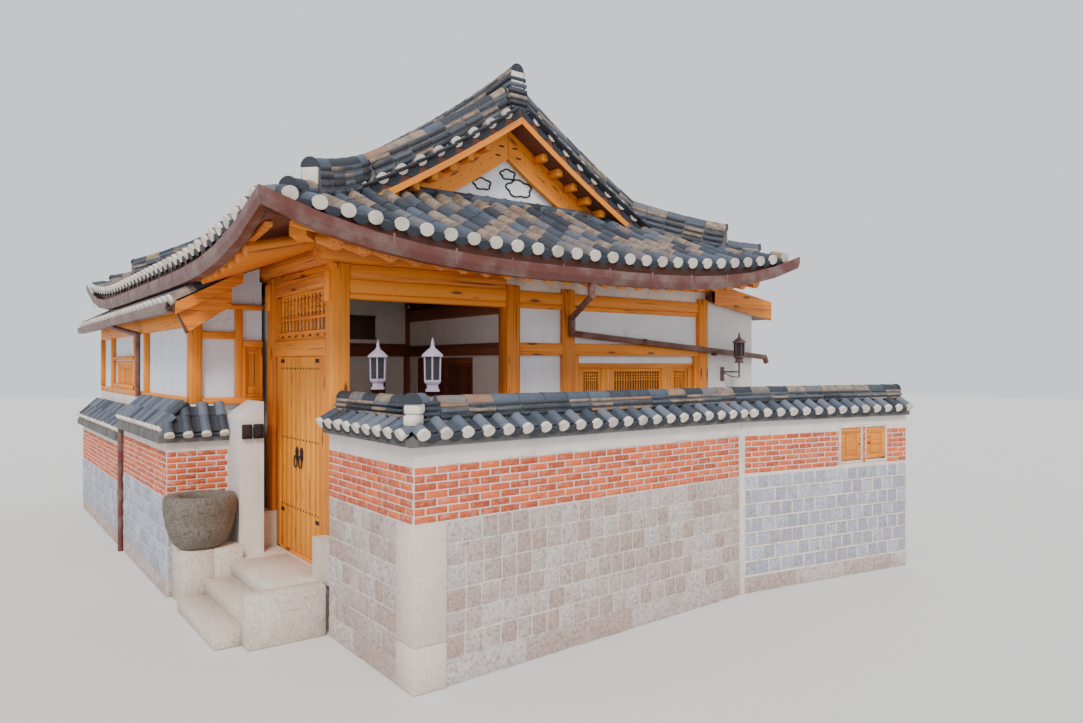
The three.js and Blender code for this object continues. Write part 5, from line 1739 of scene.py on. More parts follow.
@dataclass
class GateLeaf:
    """One plank leaf of the gate with its nails, strap and ring pull."""

    side: str
    y: Pair
    z: Pair = (0.165, 2.255)
    face: float = 0.2

    def build(self) -> None:
        """Builds the planks, the battens and the iron."""
        shape = Shape(f"gate_planks_{self.side}")
        (y0, y1), (z0, z1) = self.y, self.z
        wide = (y1 - y0) / 4
        for k in range(4):
            shape.beam((self.face, y0 + wide * k + 0.0015, z0), (0.232, y0 + wide * (k + 1) - 0.0015, z1), 0.004)
        for z in (0.42, 1.16, 1.98):
            shape.beam((0.2315, y0 + 0.03, z), (0.245, y1 - 0.03, z + 0.09), 0.004)
        pivot = y1 - 0.028 if self.side == "left" else y0 + 0.028
        shape.log([(0.238, pivot, z0 - 0.003), (0.238, pivot, z1 + 0.003)], 0.0058, 10, slot=1)
        dome = [(0.0115, 0.0), (0.0115, 0.002), (0.008, 0.007), (0.003, 0.009)]
        for z in (0.635, 1.377, 2.13):
            for k in range(7):
                self.stud(shape, dome, y0 + (y1 - y0) * (k + 0.5) / 7, z)
        inner, outer, toward = (y0, y1, 1) if self.side == "left" else (y1, y0, -1)
        centre = inner + toward * 0.066
        disc = [(0.052, 0.0), (0.052, 0.003), (0.034, 0.008), (0.012, 0.013), (0.004, 0.014)]
        for z in (1.245, 1.195):
            self.stud(shape, disc, centre, z, 20)
        ring = [np.array([0.182, centre + 0.045 * math.sin(a), 1.14 + 0.062 * math.cos(a)]) for a in turn(28)]
        shape.hoop(ring, (1, 0, 0), [(0.0075 * math.cos(a), 0.0075 * math.sin(a)) for a in turn(8)], 1, True)
        low, high = sorted((outer - toward * 0.002, outer - toward * 0.002 - toward * 0.11))
        for foot in (0.55, 2.19):
            shape.beam((0.1965, low, foot), (0.2005, high, foot + 0.04), 0.001, slot=1)
        shape.build("pine", "pine_door", "iron_black", node=f"gate_leaf_{self.side}", body=f"{self.side}_leaf")

    def stud(self, shape: Shape, profile: Sequence[Point], y: float, z: float, sides: int = 8) -> None:
        """Adds a turned iron head that stands out of the street face.

        Args:
            shape: Piece that gets it.
            profile: Radius and height over the face of each ring.
            y: Place along the gate.
            z: Height.
            sides: How many sides it has.
        """
        rings = [np.array([[self.face + 0.0005 - h, y + r * math.sin(a), z + r * math.cos(a)] for a in turn(sides)])
                 for r, h in profile]
        shape.loft(rings, slot=1, tone=0.1)


# --- Masonry ---


@dataclass(frozen=True)
class WallFace:
    """One upright face of a wall.

    Attributes:
        start: X and Y of its start.
        along: Plan direction of its courses.
        out: Plan direction out of the wall.
        length: Its length.
    """

    start: Pair
    along: Pair
    out: Pair
    length: float

    def spot(self, u: float, w: float, z: float) -> np.ndarray:
        """Returns the point at a place along the face, a distance out of it and a height."""
        return np.array([self.start[0] + self.along[0] * u + self.out[0] * w,
                         self.start[1] + self.along[1] * u + self.out[1] * w, z])

    def put(self, shape: Shape, form: Template, spot: np.ndarray, slot: int, tone: float | None = None) -> None:
        """Places a form that is square to the face."""
        shape.place(form, spot, (*self.along, 0), (*self.out, 0), UP, tone, slot)

    def bar(self, shape: Shape, u: Pair, w: Pair, z: Pair, bevel: float, slot: int = 0,
            tone: float | None = None) -> None:
        """Adds a bevelled block on the face."""
        form = block((0, 0, 0), (u[1] - u[0], w[1] - w[0], z[1] - z[0]), bevel)
        self.put(shape, form, self.spot(u[0], w[0], z[0]), slot, tone)


def rough_stone(rng: random.Random, wide: float, tall: float, deep: float, columns: int = 5, rows: int = 4) -> Template:
    """Makes a hewn stone: a flat back and a picked, swelling face.

    Args:
        rng: Source of its random relief.
        wide: Width along X.
        tall: Height along Z.
        deep: How far the face stands out along Y.
        columns: Points of the face across.
        rows: Points of the face up.

    Returns:
        The stone, its back at Y 0.
    """
    points, back = [], []
    for j in range(rows):
        for i in range(columns):
            u, v = i / (columns - 1), j / (rows - 1)
            edge = i in (0, columns - 1) or j in (0, rows - 1)
            jog = 0.05 if not edge else 0.025
            x = wide * (u + rng.uniform(-jog, jog) * (0 < i < columns - 1 or 0.5))
            z = tall * (v + rng.uniform(-jog, jog))
            y = deep * (0.35 if edge else rng.uniform(0.8, 1.25))
            points.append([x, y, z])
    ring = [(i, 0) for i in range(columns)] + [(columns - 1, j) for j in range(1, rows)]
    ring += [(i, rows - 1) for i in range(columns - 2, -1, -1)] + [(0, j) for j in range(rows - 2, 0, -1)]
    for i, j in ring:
        x, y, z = points[j * columns + i]
        back.append([x, -0.004, z])
    start, n = len(points), len(ring)
    faces: list[Face] = []
    for j in range(rows - 1):
        for i in range(columns - 1):
            a = j * columns + i
            faces.append((a, a + columns, a + columns + 1, a + 1))
    front = [j * columns + i for i, j in ring]
    for k in range(n):
        m = (k + 1) % n
        faces.append((front[k], front[m], start + m, start + k))
    faces.append(tuple(start + k for k in range(n)))
    return Template(np.array(points + back), tuple(faces))


@dataclass
class Masonry:
    """Stones below, bricks above, on the faces of one wall.

    Attributes:
        name: Name of the piece.
        faces: Faces of the wall.
        brick: From and to of the brick band.
        stone: From and to of the stone band.
        footing: Height of the footing band's top.
        courses: Count of stone courses.
        stone_finish: Material of the stones.
        brick_finish: Material of the bricks.
        even: Whether the stones are all alike, with raised joints between them.
        holes: Openings of the first face: from and to along it, foot and head.
        course: Height of a brick course.
        pitch: Length of a brick and its joint.
        joint: Width of an upright joint.
        wrap: How far the bricks of each face run past its start and its end.
    """

    name: str
    faces: tuple[WallFace, ...]
    brick: Pair
    stone: Pair
    footing: float
    courses: int
    stone_finish: str = "granite_beige"
    brick_finish: str = "brick_plain"
    even: bool = False
    holes: tuple[Four, ...] = ()
    course: float = 0.0615
    pitch: float = 0.202
    joint: float = 0.012
    wrap: tuple[Pair, ...] = ()

    def build(self) -> None:
        """Builds the bricks, the stones and the footing."""
        shape = Shape(self.name)
        for number, face in enumerate(self.faces):
            past = self.wrap[number] if number < len(self.wrap) else (0.0, 0.0)
            self.bricks(shape, face, self.holes if number == 0 else (), past)
            self.stones(shape, face)
        shape.build("masonry", self.brick_finish, self.stone_finish, "granite_beige", "lime")

    def bricks(self, shape: Shape, face: WallFace, holes: Sequence[Four], past: Pair) -> None:
        """Lays the bricks of a face in half bond, round its openings.

        Args:
            shape: Piece that gets them.
            face: The face.
            holes: Its openings: from and to along it, foot and head.
            past: How far the bricks run past its start and end.
        """
        low, high = self.brick
        rows = max(1, round((high - low) / self.course))
        tall = (high - low) / rows
        for row in range(rows):
            z0, z1 = low + tall * row + 0.005, low + tall * (row + 1) - 0.005
            spans = [(-past[0], face.length + past[1])]
            for a, b, foot, head in holes:
                if z1 > foot and z0 < head:
                    parts = [part for x, y in spans for part in ((x, min(y, a)), (max(x, b), y))]
                    spans = [part for part in parts if part[1] - part[0] > 0.03]
            for a, b in spans:
                u = a - (self.pitch / 2 if row % 2 else 0.0)
                while u < b:
                    x0, x1 = max(u, a) + self.joint / 2, min(u + self.pitch, b) - self.joint / 2
                    if x1 - x0 > 0.02:
                        proud = 0.004 + shape.random.uniform(-0.0012, 0.002)
                        jog = shape.random.uniform(-0.0015, 0.0015)
                        face.bar(shape, (x0, x1), (-0.01, proud), (z0 + jog, z1 + jog), 0.0035)
                    u += self.pitch

    def stones(self, shape: Shape, face: WallFace) -> None:
        """Lays the stones and the footing of a face.

        Args:
            shape: Piece that gets them.
            face: The face.
        """
        low, high = self.stone
        tall = (high - low) / self.courses
        for row in range(self.courses):
            z, u = low + tall * row, 0.0
            while u < face.length - 0.03:
                wide = 0.175 if self.even else shape.random.uniform(0.145, 0.195)
                wide *= 0.5 if self.even and row % 2 and u == 0.0 else 1.0
                wide = face.length - u if face.length - u - wide < 0.09 else wide
                gap = 0.024 if self.even else 0.018
                deep = 0.006 if self.even else 0.018
                form = rough_stone(shape.random, wide - gap, tall - gap, deep)
                face.put(shape, form, face.spot(u + gap / 2, 0, z + gap / 2), 1)
                if self.even:
                    face.bar(shape, (max(u, 0.0) - 0.009, u + 0.009), (-0.004, 0.009), (z, z + tall), 0.002, 3, 0.5)
                u += wide
            if self.even:
                face.bar(shape, (0, face.length), (-0.004, 0.0095), (z - 0.009, z + 0.009), 0.002, 3, 0.5)
        u = 0.0
        while u < face.length - 0.03:
            wide = min(shape.random.uniform(0.5, 0.95), face.length - u)
            wide = face.length - u if face.length - u - wide < 0.2 else wide
            form = rough_stone(shape.random, wide - 0.006, self.footing - SITE_BOTTOM - 0.008, 0.018, 9, 4)
            face.put(shape, form, face.spot(u + 0.003, 0, SITE_BOTTOM + 0.006), 2)
            u += wide


FRONT_ALONG = (0.998100, 0.061611)
EAST_ALONG = (0.988799, -0.149257)
FRONT_OUT = (FRONT_ALONG[1], -FRONT_ALONG[0])
EAST_OUT = (EAST_ALONG[1], -EAST_ALONG[0])


def inner(face: WallFace, thick: float, cut: Pair) -> WallFace:
    """Returns the courtyard side of a face.

    Args:
        face: Street side.
        thick: Thickness of the wall.
        cut: Lengths left off at its start and end.

    Returns:
        The face across the wall, walked the other way.
    """
    start = face.spot(face.length - cut[1], -thick, 0)
    along = (-face.along[0], -face.along[1])
    return WallFace((float(start[0]), float(start[1])), along, (-face.out[0], -face.out[1]),
                    face.length - cut[0] - cut[1])


CORNER_LEFT = WallFace((0.0, 1.64), (0, -1), (-1, 0), 1.36)
CORNER_FRONT = WallFace((0.28 * FRONT_ALONG[0], 0.28 * FRONT_ALONG[1]), FRONT_ALONG, FRONT_OUT, 3.745)
EAST_WALL = WallFace((4.05, 0.25), EAST_ALONG, EAST_OUT, 2.68)
EAST_FACE = WallFace((4.05 + 0.05 * EAST_ALONG[0], 0.25 + 0.05 * EAST_ALONG[1]), EAST_ALONG, EAST_OUT, 2.62)
WALLS = (
    Masonry("corner_wall_masonry", (CORNER_FRONT, CORNER_LEFT, inner(CORNER_FRONT, 0.3, (0.05, 0.04)),
                                    inner(CORNER_LEFT, 0.3, (0.0, 0.05))), (0.97, 1.40), (-0.10, 0.97), -0.10, 6,
            wrap=((0.28, 0.0), (0.0, 0.28))),
    Masonry("east_wall_masonry", (EAST_FACE, inner(EAST_FACE, 0.3, (0.02, 0.02))),
            (0.99, 1.40), (-0.12, 0.97), -0.12, 7, "granite_blue", even=True, holes=((1.45, 2.27, 1.01, 1.44),)),
    Masonry("wing_wall_masonry", (WallFace((-0.93, 6.42), (0, -1), (-1, 0), 2.59),
                                  WallFace((-0.93, 3.83), (1, 0), (0, -1), 0.63)),
            (0.75, 1.24), (-0.12, 0.75), -0.12, 5, "granite_blue", "brick_pale"),
    Masonry("wing_wall_rear_masonry", (WallFace((-0.93, 10.44), (0, -1), (-1, 0), 3.93),
                                       WallFace((-0.525, 10.45), (-1, 0), (0, 1), 0.4)),
            (0.57, 1.06), (-0.12, 0.57), -0.12, 4, "granite_blue", "brick_pale"),
)


def build_corner_pier() -> None:
    """Builds the smooth stones at the street corner and the strip where the east wall begins."""
    shape = Shape("corner_pier_stones")
    for low, high in ((SITE_BOTTOM + 0.001, 0.05), (0.053, 0.97)):
        shape.beam((-0.012, -0.012, low), (0.279, 0.283, high), 0.008, axis=2)
    EAST_WALL.bar(shape, (-0.01, 0.045), (-0.01, 0.014), (SITE_BOTTOM + 0.001, 1.49), 0.004, 1, 0.5)
    CORNER_FRONT.bar(shape, (0.0, 3.74), (-0.01, 0.006), (1.401, 1.418), 0.003, 1, 0.5)
    shape.build("masonry", "granite_corner", "lime")


# --- Coping ---


def small_tiles(reach: float) -> TileSet:
    """Returns the tiles of the garden wall."""
    return TileSet(pitch=0.2, reach=reach, cover=0.056, crown=0.06, pan=0.084)


@dataclass
class Coping:
    """Tiled cap of the garden wall, along its centre line.

    Attributes:
        path: X and Y of the centre line's corners.
        reach: Distance from the centre line to the eave.
        ridge: Distance from the centre line to the ridge courses.
        eave: Height of the eave.
        shoulder: Height where the tiles meet the courses.
    """

    path: tuple[Pair, ...] = ((0.15, 1.67), (0.15, 0.159), (4.060, 0.4005), (6.716, -0.0))
    reach: float = 0.22
    ridge: float = 0.11
    eave: float = 1.635
    shoulder: float = 1.70

    def build(self) -> None:
        """Builds the short rows, the courses and the cap."""
        shape = Shape("coping_tiles")
        rows = TileRows(small_tiles(0.19))
        for k, (a, b) in enumerate(zip(self.path, self.path[1:])):
            length = math.dist(a, b)
            along = ((b[0] - a[0]) / length, (b[1] - a[1]) / length)
            left = (-along[1], along[0])
            for sign in (-1, 1):
                outward = (left[0] * sign, left[1] * sign)
                self.side(shape, rows, a, along, outward, length, self.bend(k, sign), self.bend(k + 1, sign))
        shape.build("roof_tile", *WALL_TILES)
        self.bed()
        stations = [(x, y, 1.66, 1.955) for x, y in self.path]
        Ridge("coping_courses", stations, "", half=0.1, pitch=0.043, cap=0.066).build()
        self.corner()

    def bed(self) -> None:
        """Builds the mortar bed that the tiles lie on."""
        shape = Shape("coping_bed")
        outline = ((0.205, 1.555), (0.205, 1.615), (0.10, 1.675), (-0.10, 1.675), (-0.205, 1.615), (-0.205, 1.555))
        rings = []
        for place, before, after in bends(self.path):
            mean = unit(before + after)
            left = np.array([-mean[1], mean[0]]) / max(0.5, float(mean @ before))
            rings.append(np.array([[*(place + left * a), z] for a, z in outline]))
        # The bed's dark finish is painted shade under the tile eaves.
        shape.loft(rings, tone=0.5)
        shape.build("plaster", "mortar_painted_shade", node="wall_coping")

    def bend(self, k: int, sign: int) -> float:
        """Returns how far rows run past a corner: over it outside, short of it inside, 0 at an end.

        Args:
            k: Number of the corner.
            sign: Side of the wall, 1 or -1.

        Returns:
            The run past the corner for each metre outward.
        """
        u, v = bends(self.path)[k][1:]
        cross = float(u[0] * v[1] - u[1] * v[0])
        return -sign * math.tan(math.asin(max(-1.0, min(1.0, cross))) / 2)

    def side(self, shape: Shape, rows: TileRows, start: Pair, along: Pair, outward: Pair, length: float,
             before: float, after: float) -> None:
        """Lays the rows of one side of one stretch, mitred at its corners.

        Args:
            shape: Piece that gets them.
            rows: How tiles are laid.
            start: Start of the stretch.
            along: Its direction.
            outward: Direction to the eave.
            length: Its length.
            before: Bend at its start.
            after: Bend at its end.
        """
        slope = (self.shoulder - self.eave) / (self.reach - self.ridge)
        corner = (start[0] + outward[0] * self.reach, start[1] + outward[1] * self.reach)
        rise = Slope(corner, along, (-outward[0], -outward[1]), length, lambda s, d: self.eave + slope * d)
        deep = self.reach - self.ridge + 0.02

        def stop(s: float) -> float:
            """Returns where the row ends.

            Args:
                s: Place along the eave.

            Returns:
                Distance inward.
            """
            limit = deep
            for past, slant in ((-s, before), (s - length, after)):
                if slant > 0.01 and past > 0:
                    limit = min(limit, self.reach - past / slant)
            return limit

        def begin(s: float) -> float:
            """Returns where the row starts.

            Args:
                s: Place along the eave.

            Returns:
                Distance inward.
            """
            first = 0.0
            for past, slant in ((-s, before), (s - length, after)):
                if slant < -0.01 and past > slant * self.reach:
                    first = max(first, self.reach - past / slant)
            return first

        edge, bent = 0.07, 0.105
        first = edge - before * self.reach if before > 0.2 else (bent if before else edge)
        last = length + after * self.reach - edge if after > 0.2 else length - (bent if after else edge)
        rows.cover_slope(shape, rise, first, last, stop, begin)

    def corner(self) -> None:
        """Builds the small ridge that ends over the street corner on stacked lime blocks."""
        shape = Shape("coping_corner_end")
        out = unit((-1.0, -0.94, 0.0))
        side = unit(np.cross(UP, out))
        centre = np.array([self.path[1][0], self.path[1][1], 0.0])
        shape.place(prism(arch(0.068, 0.072), 0.22, 1.0, True), centre + UP * 1.882, out, side, UP, 0.6)
        for reach, low, high, half in ((0.235, 1.80, 1.878, 0.062), (0.275, 1.715, 1.796, 0.052)):
            form = block((0.1, -half, 0), (reach, half, high - low), 0.012)
            shape.place(form, centre + UP * low, out, side, UP, 0.5, 1)
        shape.place(prism(arch(0.08, 0.088), 0.03), centre + UP * 1.876 + out * 0.215, out, side, UP, 0.05, 2)
        for level in range(5):
            low = 1.69 + 0.043 * level
            shape.beam((0.042, 0.051, low), (0.258, 0.267, low + 0.027), 0.005, 0.3)
        shape.build("roof_tile", *WALL_TILES)


WING_EAVE, WING_X, WING_GRADE = 2.825, -0.89, 0.54


def build_wing_roofing() -> None:
    """Builds the tiles of the wing and of the cap over its base, and the board under the wing's verge."""
    shape = Shape("wing_tiles")
    lean = Slope((WING_X, 3.62), (0, 1), (1, 0), 7.13, lambda s, d: WING_EAVE + WING_GRADE * d)
    rows = TileRows(TileSet(pitch=0.25, reach=0.25))
    rows.cover_slope(shape, lean, 0.07, 7.06, lambda s: 0.56)
    shape.build("roof_tile", *ROOF_TILES)
    shape = Shape("wing_cap_tiles")
    small = TileRows(small_tiles(0.2))
    rise = 0.30 / 0.319
    front = Slope((-0.964, 3.774), (0, 1), (1, 0), 2.65, lambda s, d: 1.47 + rise * d)
    small.cover_slope(shape, front, 0.08, 2.58, lambda s: min(0.275, max(0.02, s * 1.6)))
    rear = Slope((-0.964, 6.42), (0, 1), (1, 0), 4.03, lambda s, d: 1.29 + rise * d)
    small.cover_slope(shape, rear, 0.08, 3.95, lambda s: 0.275)
    end = Slope((-1.019, 3.774), (1, 0), (0, 1), 0.72, lambda s, d: 1.42 + 1.5 * d)
    small.cover_slope(shape, end, 0.1, 0.66, lambda s: min(0.2, s * 0.62))
    shape.build("roof_tile", *WALL_TILES)
    shape = Shape("wing_verge_board")
    x0, x1, y0, y1 = -0.885, -0.255, 3.652, 3.698
    top = [(x, WING_EAVE + WING_GRADE * (x - WING_X) - 0.058) for x in (x0, x1 - 0.055)]
    outline = [top[0], (x0 + 0.06, 2.66), (x0 + 0.14, 2.52), (x1 - 0.2, 2.72), (x1 - 0.055, 2.80), top[1]]
    shape.loft([np.array([[x, y0 - 0.006, z] for x, z in outline]), np.array([[x, y1 + 0.004, z] for x, z in outline])],
               grain=np.array([[x, y, z] for y in (0.0, 0.046) for x, z in outline]))
    corners = ((-0.888, 0.13), (-0.2, 0.13), (-0.2, 0.002), (-0.888, 0.002))
    outline = [(x, WING_EAVE + WING_GRADE * (x - WING_X) - drop) for x, drop in corners]
    shape.loft([np.array([[x, y, z] for x, z in outline]) for y in (3.598, 3.6195)],
               grain=np.array([[x, y, z] for y in (0.0, 0.02) for x, z in outline]))
    shape.build("pine", "pine_orange")


# --- Small work ---


@dataclass(frozen=True)
class Lantern:
    """A six-light metal lantern with dark glass under a hipped cap."""

    name: str
    centre: Triple

    def build(self) -> None:
        """Builds the foot, the glass, the bars and the cap."""
        shape = Shape(f"lantern_{self.name}_work")
        foot = [(0.062, 0.0), (0.062, 0.016), (0.050, 0.024), (0.050, 0.052), (0.066, 0.064),
                (0.074, 0.078), (0.074, 0.09)]
        cap = [(0.094, 0.272), (0.094, 0.284), (0.066, 0.308), (0.038, 0.330), (0.022, 0.340), (0.02, 0.352),
               (0.012, 0.365), (0.014, 0.385), (0.006, 0.405), (0.003, 0.42)]
        glass = [(0.062, 0.088), (0.066, 0.272)]
        for profile, slot in ((foot, 0), (cap, 0), (glass, 1)):
            shape.lathe(self.centre, profile, 6, 0.5, slot, False)
        c = np.array(self.centre)
        for a in turn(6):
            low = c + [0.066 * math.cos(a), 0.066 * math.sin(a), 0.086]
            high = c + [0.070 * math.cos(a), 0.070 * math.sin(a), 0.274]
            shape.log([low, high], 0.0065, 6)
        if self.name == "side":
            x, y, z = self.centre
            shape.log([(x, y, 2.0), (x, y, z + 0.01)], 0.012, 10)
            shape.log([(x, 1.66, 2.075), (x, 1.96, 2.075)], 0.011, 10)
            shape.log([(x, 1.68, 2.0), (x, 1.80, 2.01), (x, 1.93, 2.06)], 0.007, 8)
            shape.beam((5.725, 1.9505, 1.95), (5.795, 1.968, 2.14), 0.004)
        metal = "lantern_dark" if self.name == "side" else "lantern_metal"
        shape.build("lantern_metal", metal, "glass_dark", node=f"lantern_{self.name}")


def strap(shape: Shape, place: Pair, out: Pair, near: float) -> None:
    """Adds one strap round the gutter's face.

    Args:
        shape: Piece that gets it.
        place: X and Y at the eave.
        out: Direction out of the eave.
        near: Distance from the nearest corner.
    """
    top = 3.18 + 0.42 * max(0.0, 1 - near / 3.5) ** 3.2
    along = np.array([-out[1], out[0], 0.0])
    face = np.array([place[0] + out[0] * 0.119, place[1] + out[1] * 0.119, top])
    form = block((-0.009, -0.003, -0.149), (0.009, 0.0015, 0.002), 0.001)
    shape.place(form, face, along, (*out, 0.0), UP)


def build_gutter_work() -> None:
    """Builds the straps along the eaves and the collars of the pipes."""
    shape = Shape("gutter_straps")
    for y in np.arange(2.3, 9.3, 0.62):
        strap(shape, (-0.82, float(y)), (-1, 0), min(float(y) - 1.05, 11.0 - float(y)))
    for x in np.arange(0.3, 5.2, 0.62):
        strap(shape, (float(x), 1.05), (0, -1), min(float(x) + 0.82, 6.235 - float(x)))
    for path in (((2.675, 1.11, 3.0), (2.675, 1.11, 2.94)), ((3.047, 1.898, 2.68), (3.047, 1.898, 2.62)),
                 ((4.2, 1.898, 2.457), (4.26, 1.898, 2.450)), ((5.5, 1.898, 2.337), (5.56, 1.898, 2.330)),
                 ((-0.94, 7.18, 2.73), (-0.94, 7.18, 2.69)), ((-0.9643, 6.465, 1.2), (-0.9643, 6.465, 1.15)),
                 ((-0.9643, 6.465, 0.5), (-0.9643, 6.465, 0.45))):
        shape.log(path, 0.0415, 16)
    shape.build("gutter_metal", "metal_paint")


@dataclass
class HatchDoor:
    """A small framed pine door in the east wall."""

    side: str
    start: float

    def build(self) -> None:
        """Builds the raised frame, the panel and the knob on the leaf."""
        shape = Shape(f"hatch_door_{self.side}")
        a, b, low, high = self.start + 0.007, self.start + 0.328, 1.047, 1.418
        rim = 0.058
        for u, z in (((a, b), (low, low + rim)), ((a, b), (high - rim, high)),
                     ((a, a + rim), (low + rim, high - rim)), ((b - rim, b), (low + rim, high - rim))):
            EAST_WALL.bar(shape, u, (-0.004, 0.006), z, 0.003)
        inset = rim + 0.014
        EAST_WALL.bar(shape, (a + inset, b - inset), (-0.004, 0.008), (low + inset, high - inset), 0.008)
        knob = b - 0.03 if self.side == "left" else a + 0.03
        EAST_WALL.bar(shape, (knob - 0.008, knob + 0.008), (0.004, 0.018), (1.225, 1.241), 0.003, 1)
        shape.build("pine", "pine_orange", "iron_black", body=f"{self.side}_hatch")


def build_hatch_surround() -> None:
    """Builds the light mortar frame round both hatch doors."""
    shape = Shape("hatch_surround")
    for start in (1.531, 1.956):
        for u, z in (((start - 0.03, start - 0.001), (1.012, 1.452)), ((start + 0.336, start + 0.365), (1.012, 1.452)),
                     ((start - 0.001, start + 0.336), (1.012, 1.039)),
                     ((start - 0.001, start + 0.336), (1.426, 1.452))):
            EAST_WALL.bar(shape, u, (-0.01, 0.009), z, 0.004, 0, 0.5)
    for level in range(7):
        z = 1.018 + 0.0615 * level
        EAST_WALL.bar(shape, (1.886, 1.937), (0.002, 0.0125), (z, z + 0.05), 0.003, 1)
    shape.build("plaster", "lime", "brick_plain")


def build_hall_work() -> None:
    """Builds the bare sign board in the hall and the two pier boxes."""
    shape = Shape("hall_sign_board")
    shape.beam((1.22, 4.335, 2.51), (1.70, 4.36, 2.80), 0.006)
    for z in (2.50, 2.79):
        shape.beam((1.21, 4.33, z), (1.71, 4.365, z + 0.02), 0.004)
    shape.build("shaded_pine", "timber_dark")
    shape = Shape("pier_boxes")
    for x in (-0.275, -0.155):
        shape.beam((x, 3.352, 1.375), (x + 0.1, 3.4005, 1.53), 0.006)
        shape.beam((x + 0.02, 3.345, 1.40), (x + 0.08, 3.3525, 1.475), 0.003)
    shape.build("lantern_metal", "iron_black")


def build_side_room() -> None:
    """Builds the eave board and the boards under the side room's roof."""
    shape = Shape("side_room_boards")
    ends = ((5.49, 2.99, 3.27), (6.70, 2.815, 3.07))
    shape.loft([np.array([[x, 1.855, low], [x, 1.904, low], [x, 1.904, high], [x, 1.855, high]])
                for x, low, high in ends])
    for k in range(5):
        y = 2.05 + 0.45 * k
        shape.beam((6.40, y, 2.86), (6.69, y + 0.07, 2.925), 0.005)
    shape.build("pine", "pine_orange")
    shape = Shape("side_room_tiles")
    slope = Slope((6.70, 1.905), (0, 1), (-1, 0), 2.39, lambda s, d: 2.89 + 0.169 * d)
    TileRows(TileSet(pitch=0.25, reach=0.26)).cover_slope(shape, slope, 0.1, 2.3, lambda s: 1.2)
    shape.build("roof_tile", *ROOF_TILES)


SLABS = (
    SquaredWork("step_slabs", "gate_steps", (
        (-0.43, 0.15, 1.862, 3.246, -0.02, 0.13), (-0.43, 0.15, 3.25, 3.99, -0.02, 0.13),
        (-0.43, 0.15, 1.862, 3.99, -0.299, -0.022), (-0.69, -0.432, 1.862, 3.246, -0.165, -0.02),
        (-0.69, -0.432, 1.862, 3.246, -0.299, -0.167), (-0.95, -0.692, 1.862, 3.246, -0.299, -0.17),
        (-0.72, -0.02, 1.67, 1.858, -0.299, 0.16)), "step_stone", "granite_slab", 0.007, shades=(0.2, 0.5)),
    SquaredWork("plinth_blocks", "basin_plinth", (
        (-0.88, -0.592, 3.25, 3.829, -0.299, 0.27), (-0.59, -0.30, 3.25, 3.829, -0.299, 0.27)),
                "step_stone", "granite_slab", 0.007, shades=(0.2, 0.5)),
)


def build_basin() -> None:
    """Builds the chiselled stone basin with its lower band."""
    shape = Shape("basin_hewn")
    profile = [(0.200, 0.000), (0.262, 0.050), (0.296, 0.110), (0.322, 0.18), (0.340, 0.25), (0.350, 0.325),
               (0.353, 0.345), (0.361, 0.36), (0.364, 0.42), (0.365, 0.485), (0.358, 0.525), (0.345, 0.541),
               (0.29, 0.546), (0.23, 0.542), (0.214, 0.528), (0.204, 0.49), (0.196, 0.42), (0.17, 0.35), (0.10, 0.32)]
    rings = []
    for r, z in profile:
        ring = []
        for a in turn(44):
            rough = 1 + shape.random.uniform(-0.010, 0.010) + 0.012 * math.sin(3 * a + 1.3)
            jog = shape.random.uniform(-0.004, 0.004) if z > 0.02 else 0.0
            x, y = -0.68 + r * rough * math.cos(a) * 0.985, 3.47 + r * rough * math.sin(a) * 0.92
            ring.append([x, y, 0.27 + z + 0.001 + jog])
        rings.append(np.array(ring))
    shape.loft(rings, smooth=False)
    shape.build("basin_stone", "basin_stone", node="stone_basin")


NODE_FINISHES = {
    "board_soffit": "roof_left roof_right roof_front_skirt roof_back_skirt gable_boards_front "
                    "gable_boards_back rafters_front rafters_back rafters_left rafters_right gate_frame "
                    "gate_transom gate_leaf_left gate_leaf_right front_frame front_window right_window "
                    "back_window rear_frame hall_frame hall_door wing_window_side wing_frame wing_roof "
                    "side_roof",
    # Dark mortar as painted shade on the ridge and coping cores.
    "mortar_painted_shade": "ridge_front_left ridge_front_right ridge_back_left ridge_back_right main_ridge wall_coping "
                 "wing_coping",
    "plaster_white": "gable_wall_front gable_wall_back front_panel window_wall right_wall back_wall",
    "metal_paint": "roof_gutter wing_gutter downpipe_wall lantern_gate lantern_corner lantern_side",
    "joint_light": "east_wall corner_wall wing_base_wall",
    "pine_back": "meter_hatch_left meter_hatch_right",
    "plaster_wall": "gate_pier hall_side_wall hall_back_wall side_room_wall",
    "granite_step": "gate_steps basin_plinth post_stone_right post_stone_left house_base",
    "basin_stone": "stone_basin",
    # Plaster with a painted cool cast of light, for the wing panels.
    "plaster_painted_cool_light": "wing_panels",
}


def dress_nodes(frame: dict) -> None:
    """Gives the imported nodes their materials.
    """
    for name, nodes in NODE_FINISHES.items():
        for node in nodes.split():
            mesh = frame["nodes"][node].data
            mesh.materials.clear()
            mesh.materials.append(Shape.palette[name])


# --- Stage ---


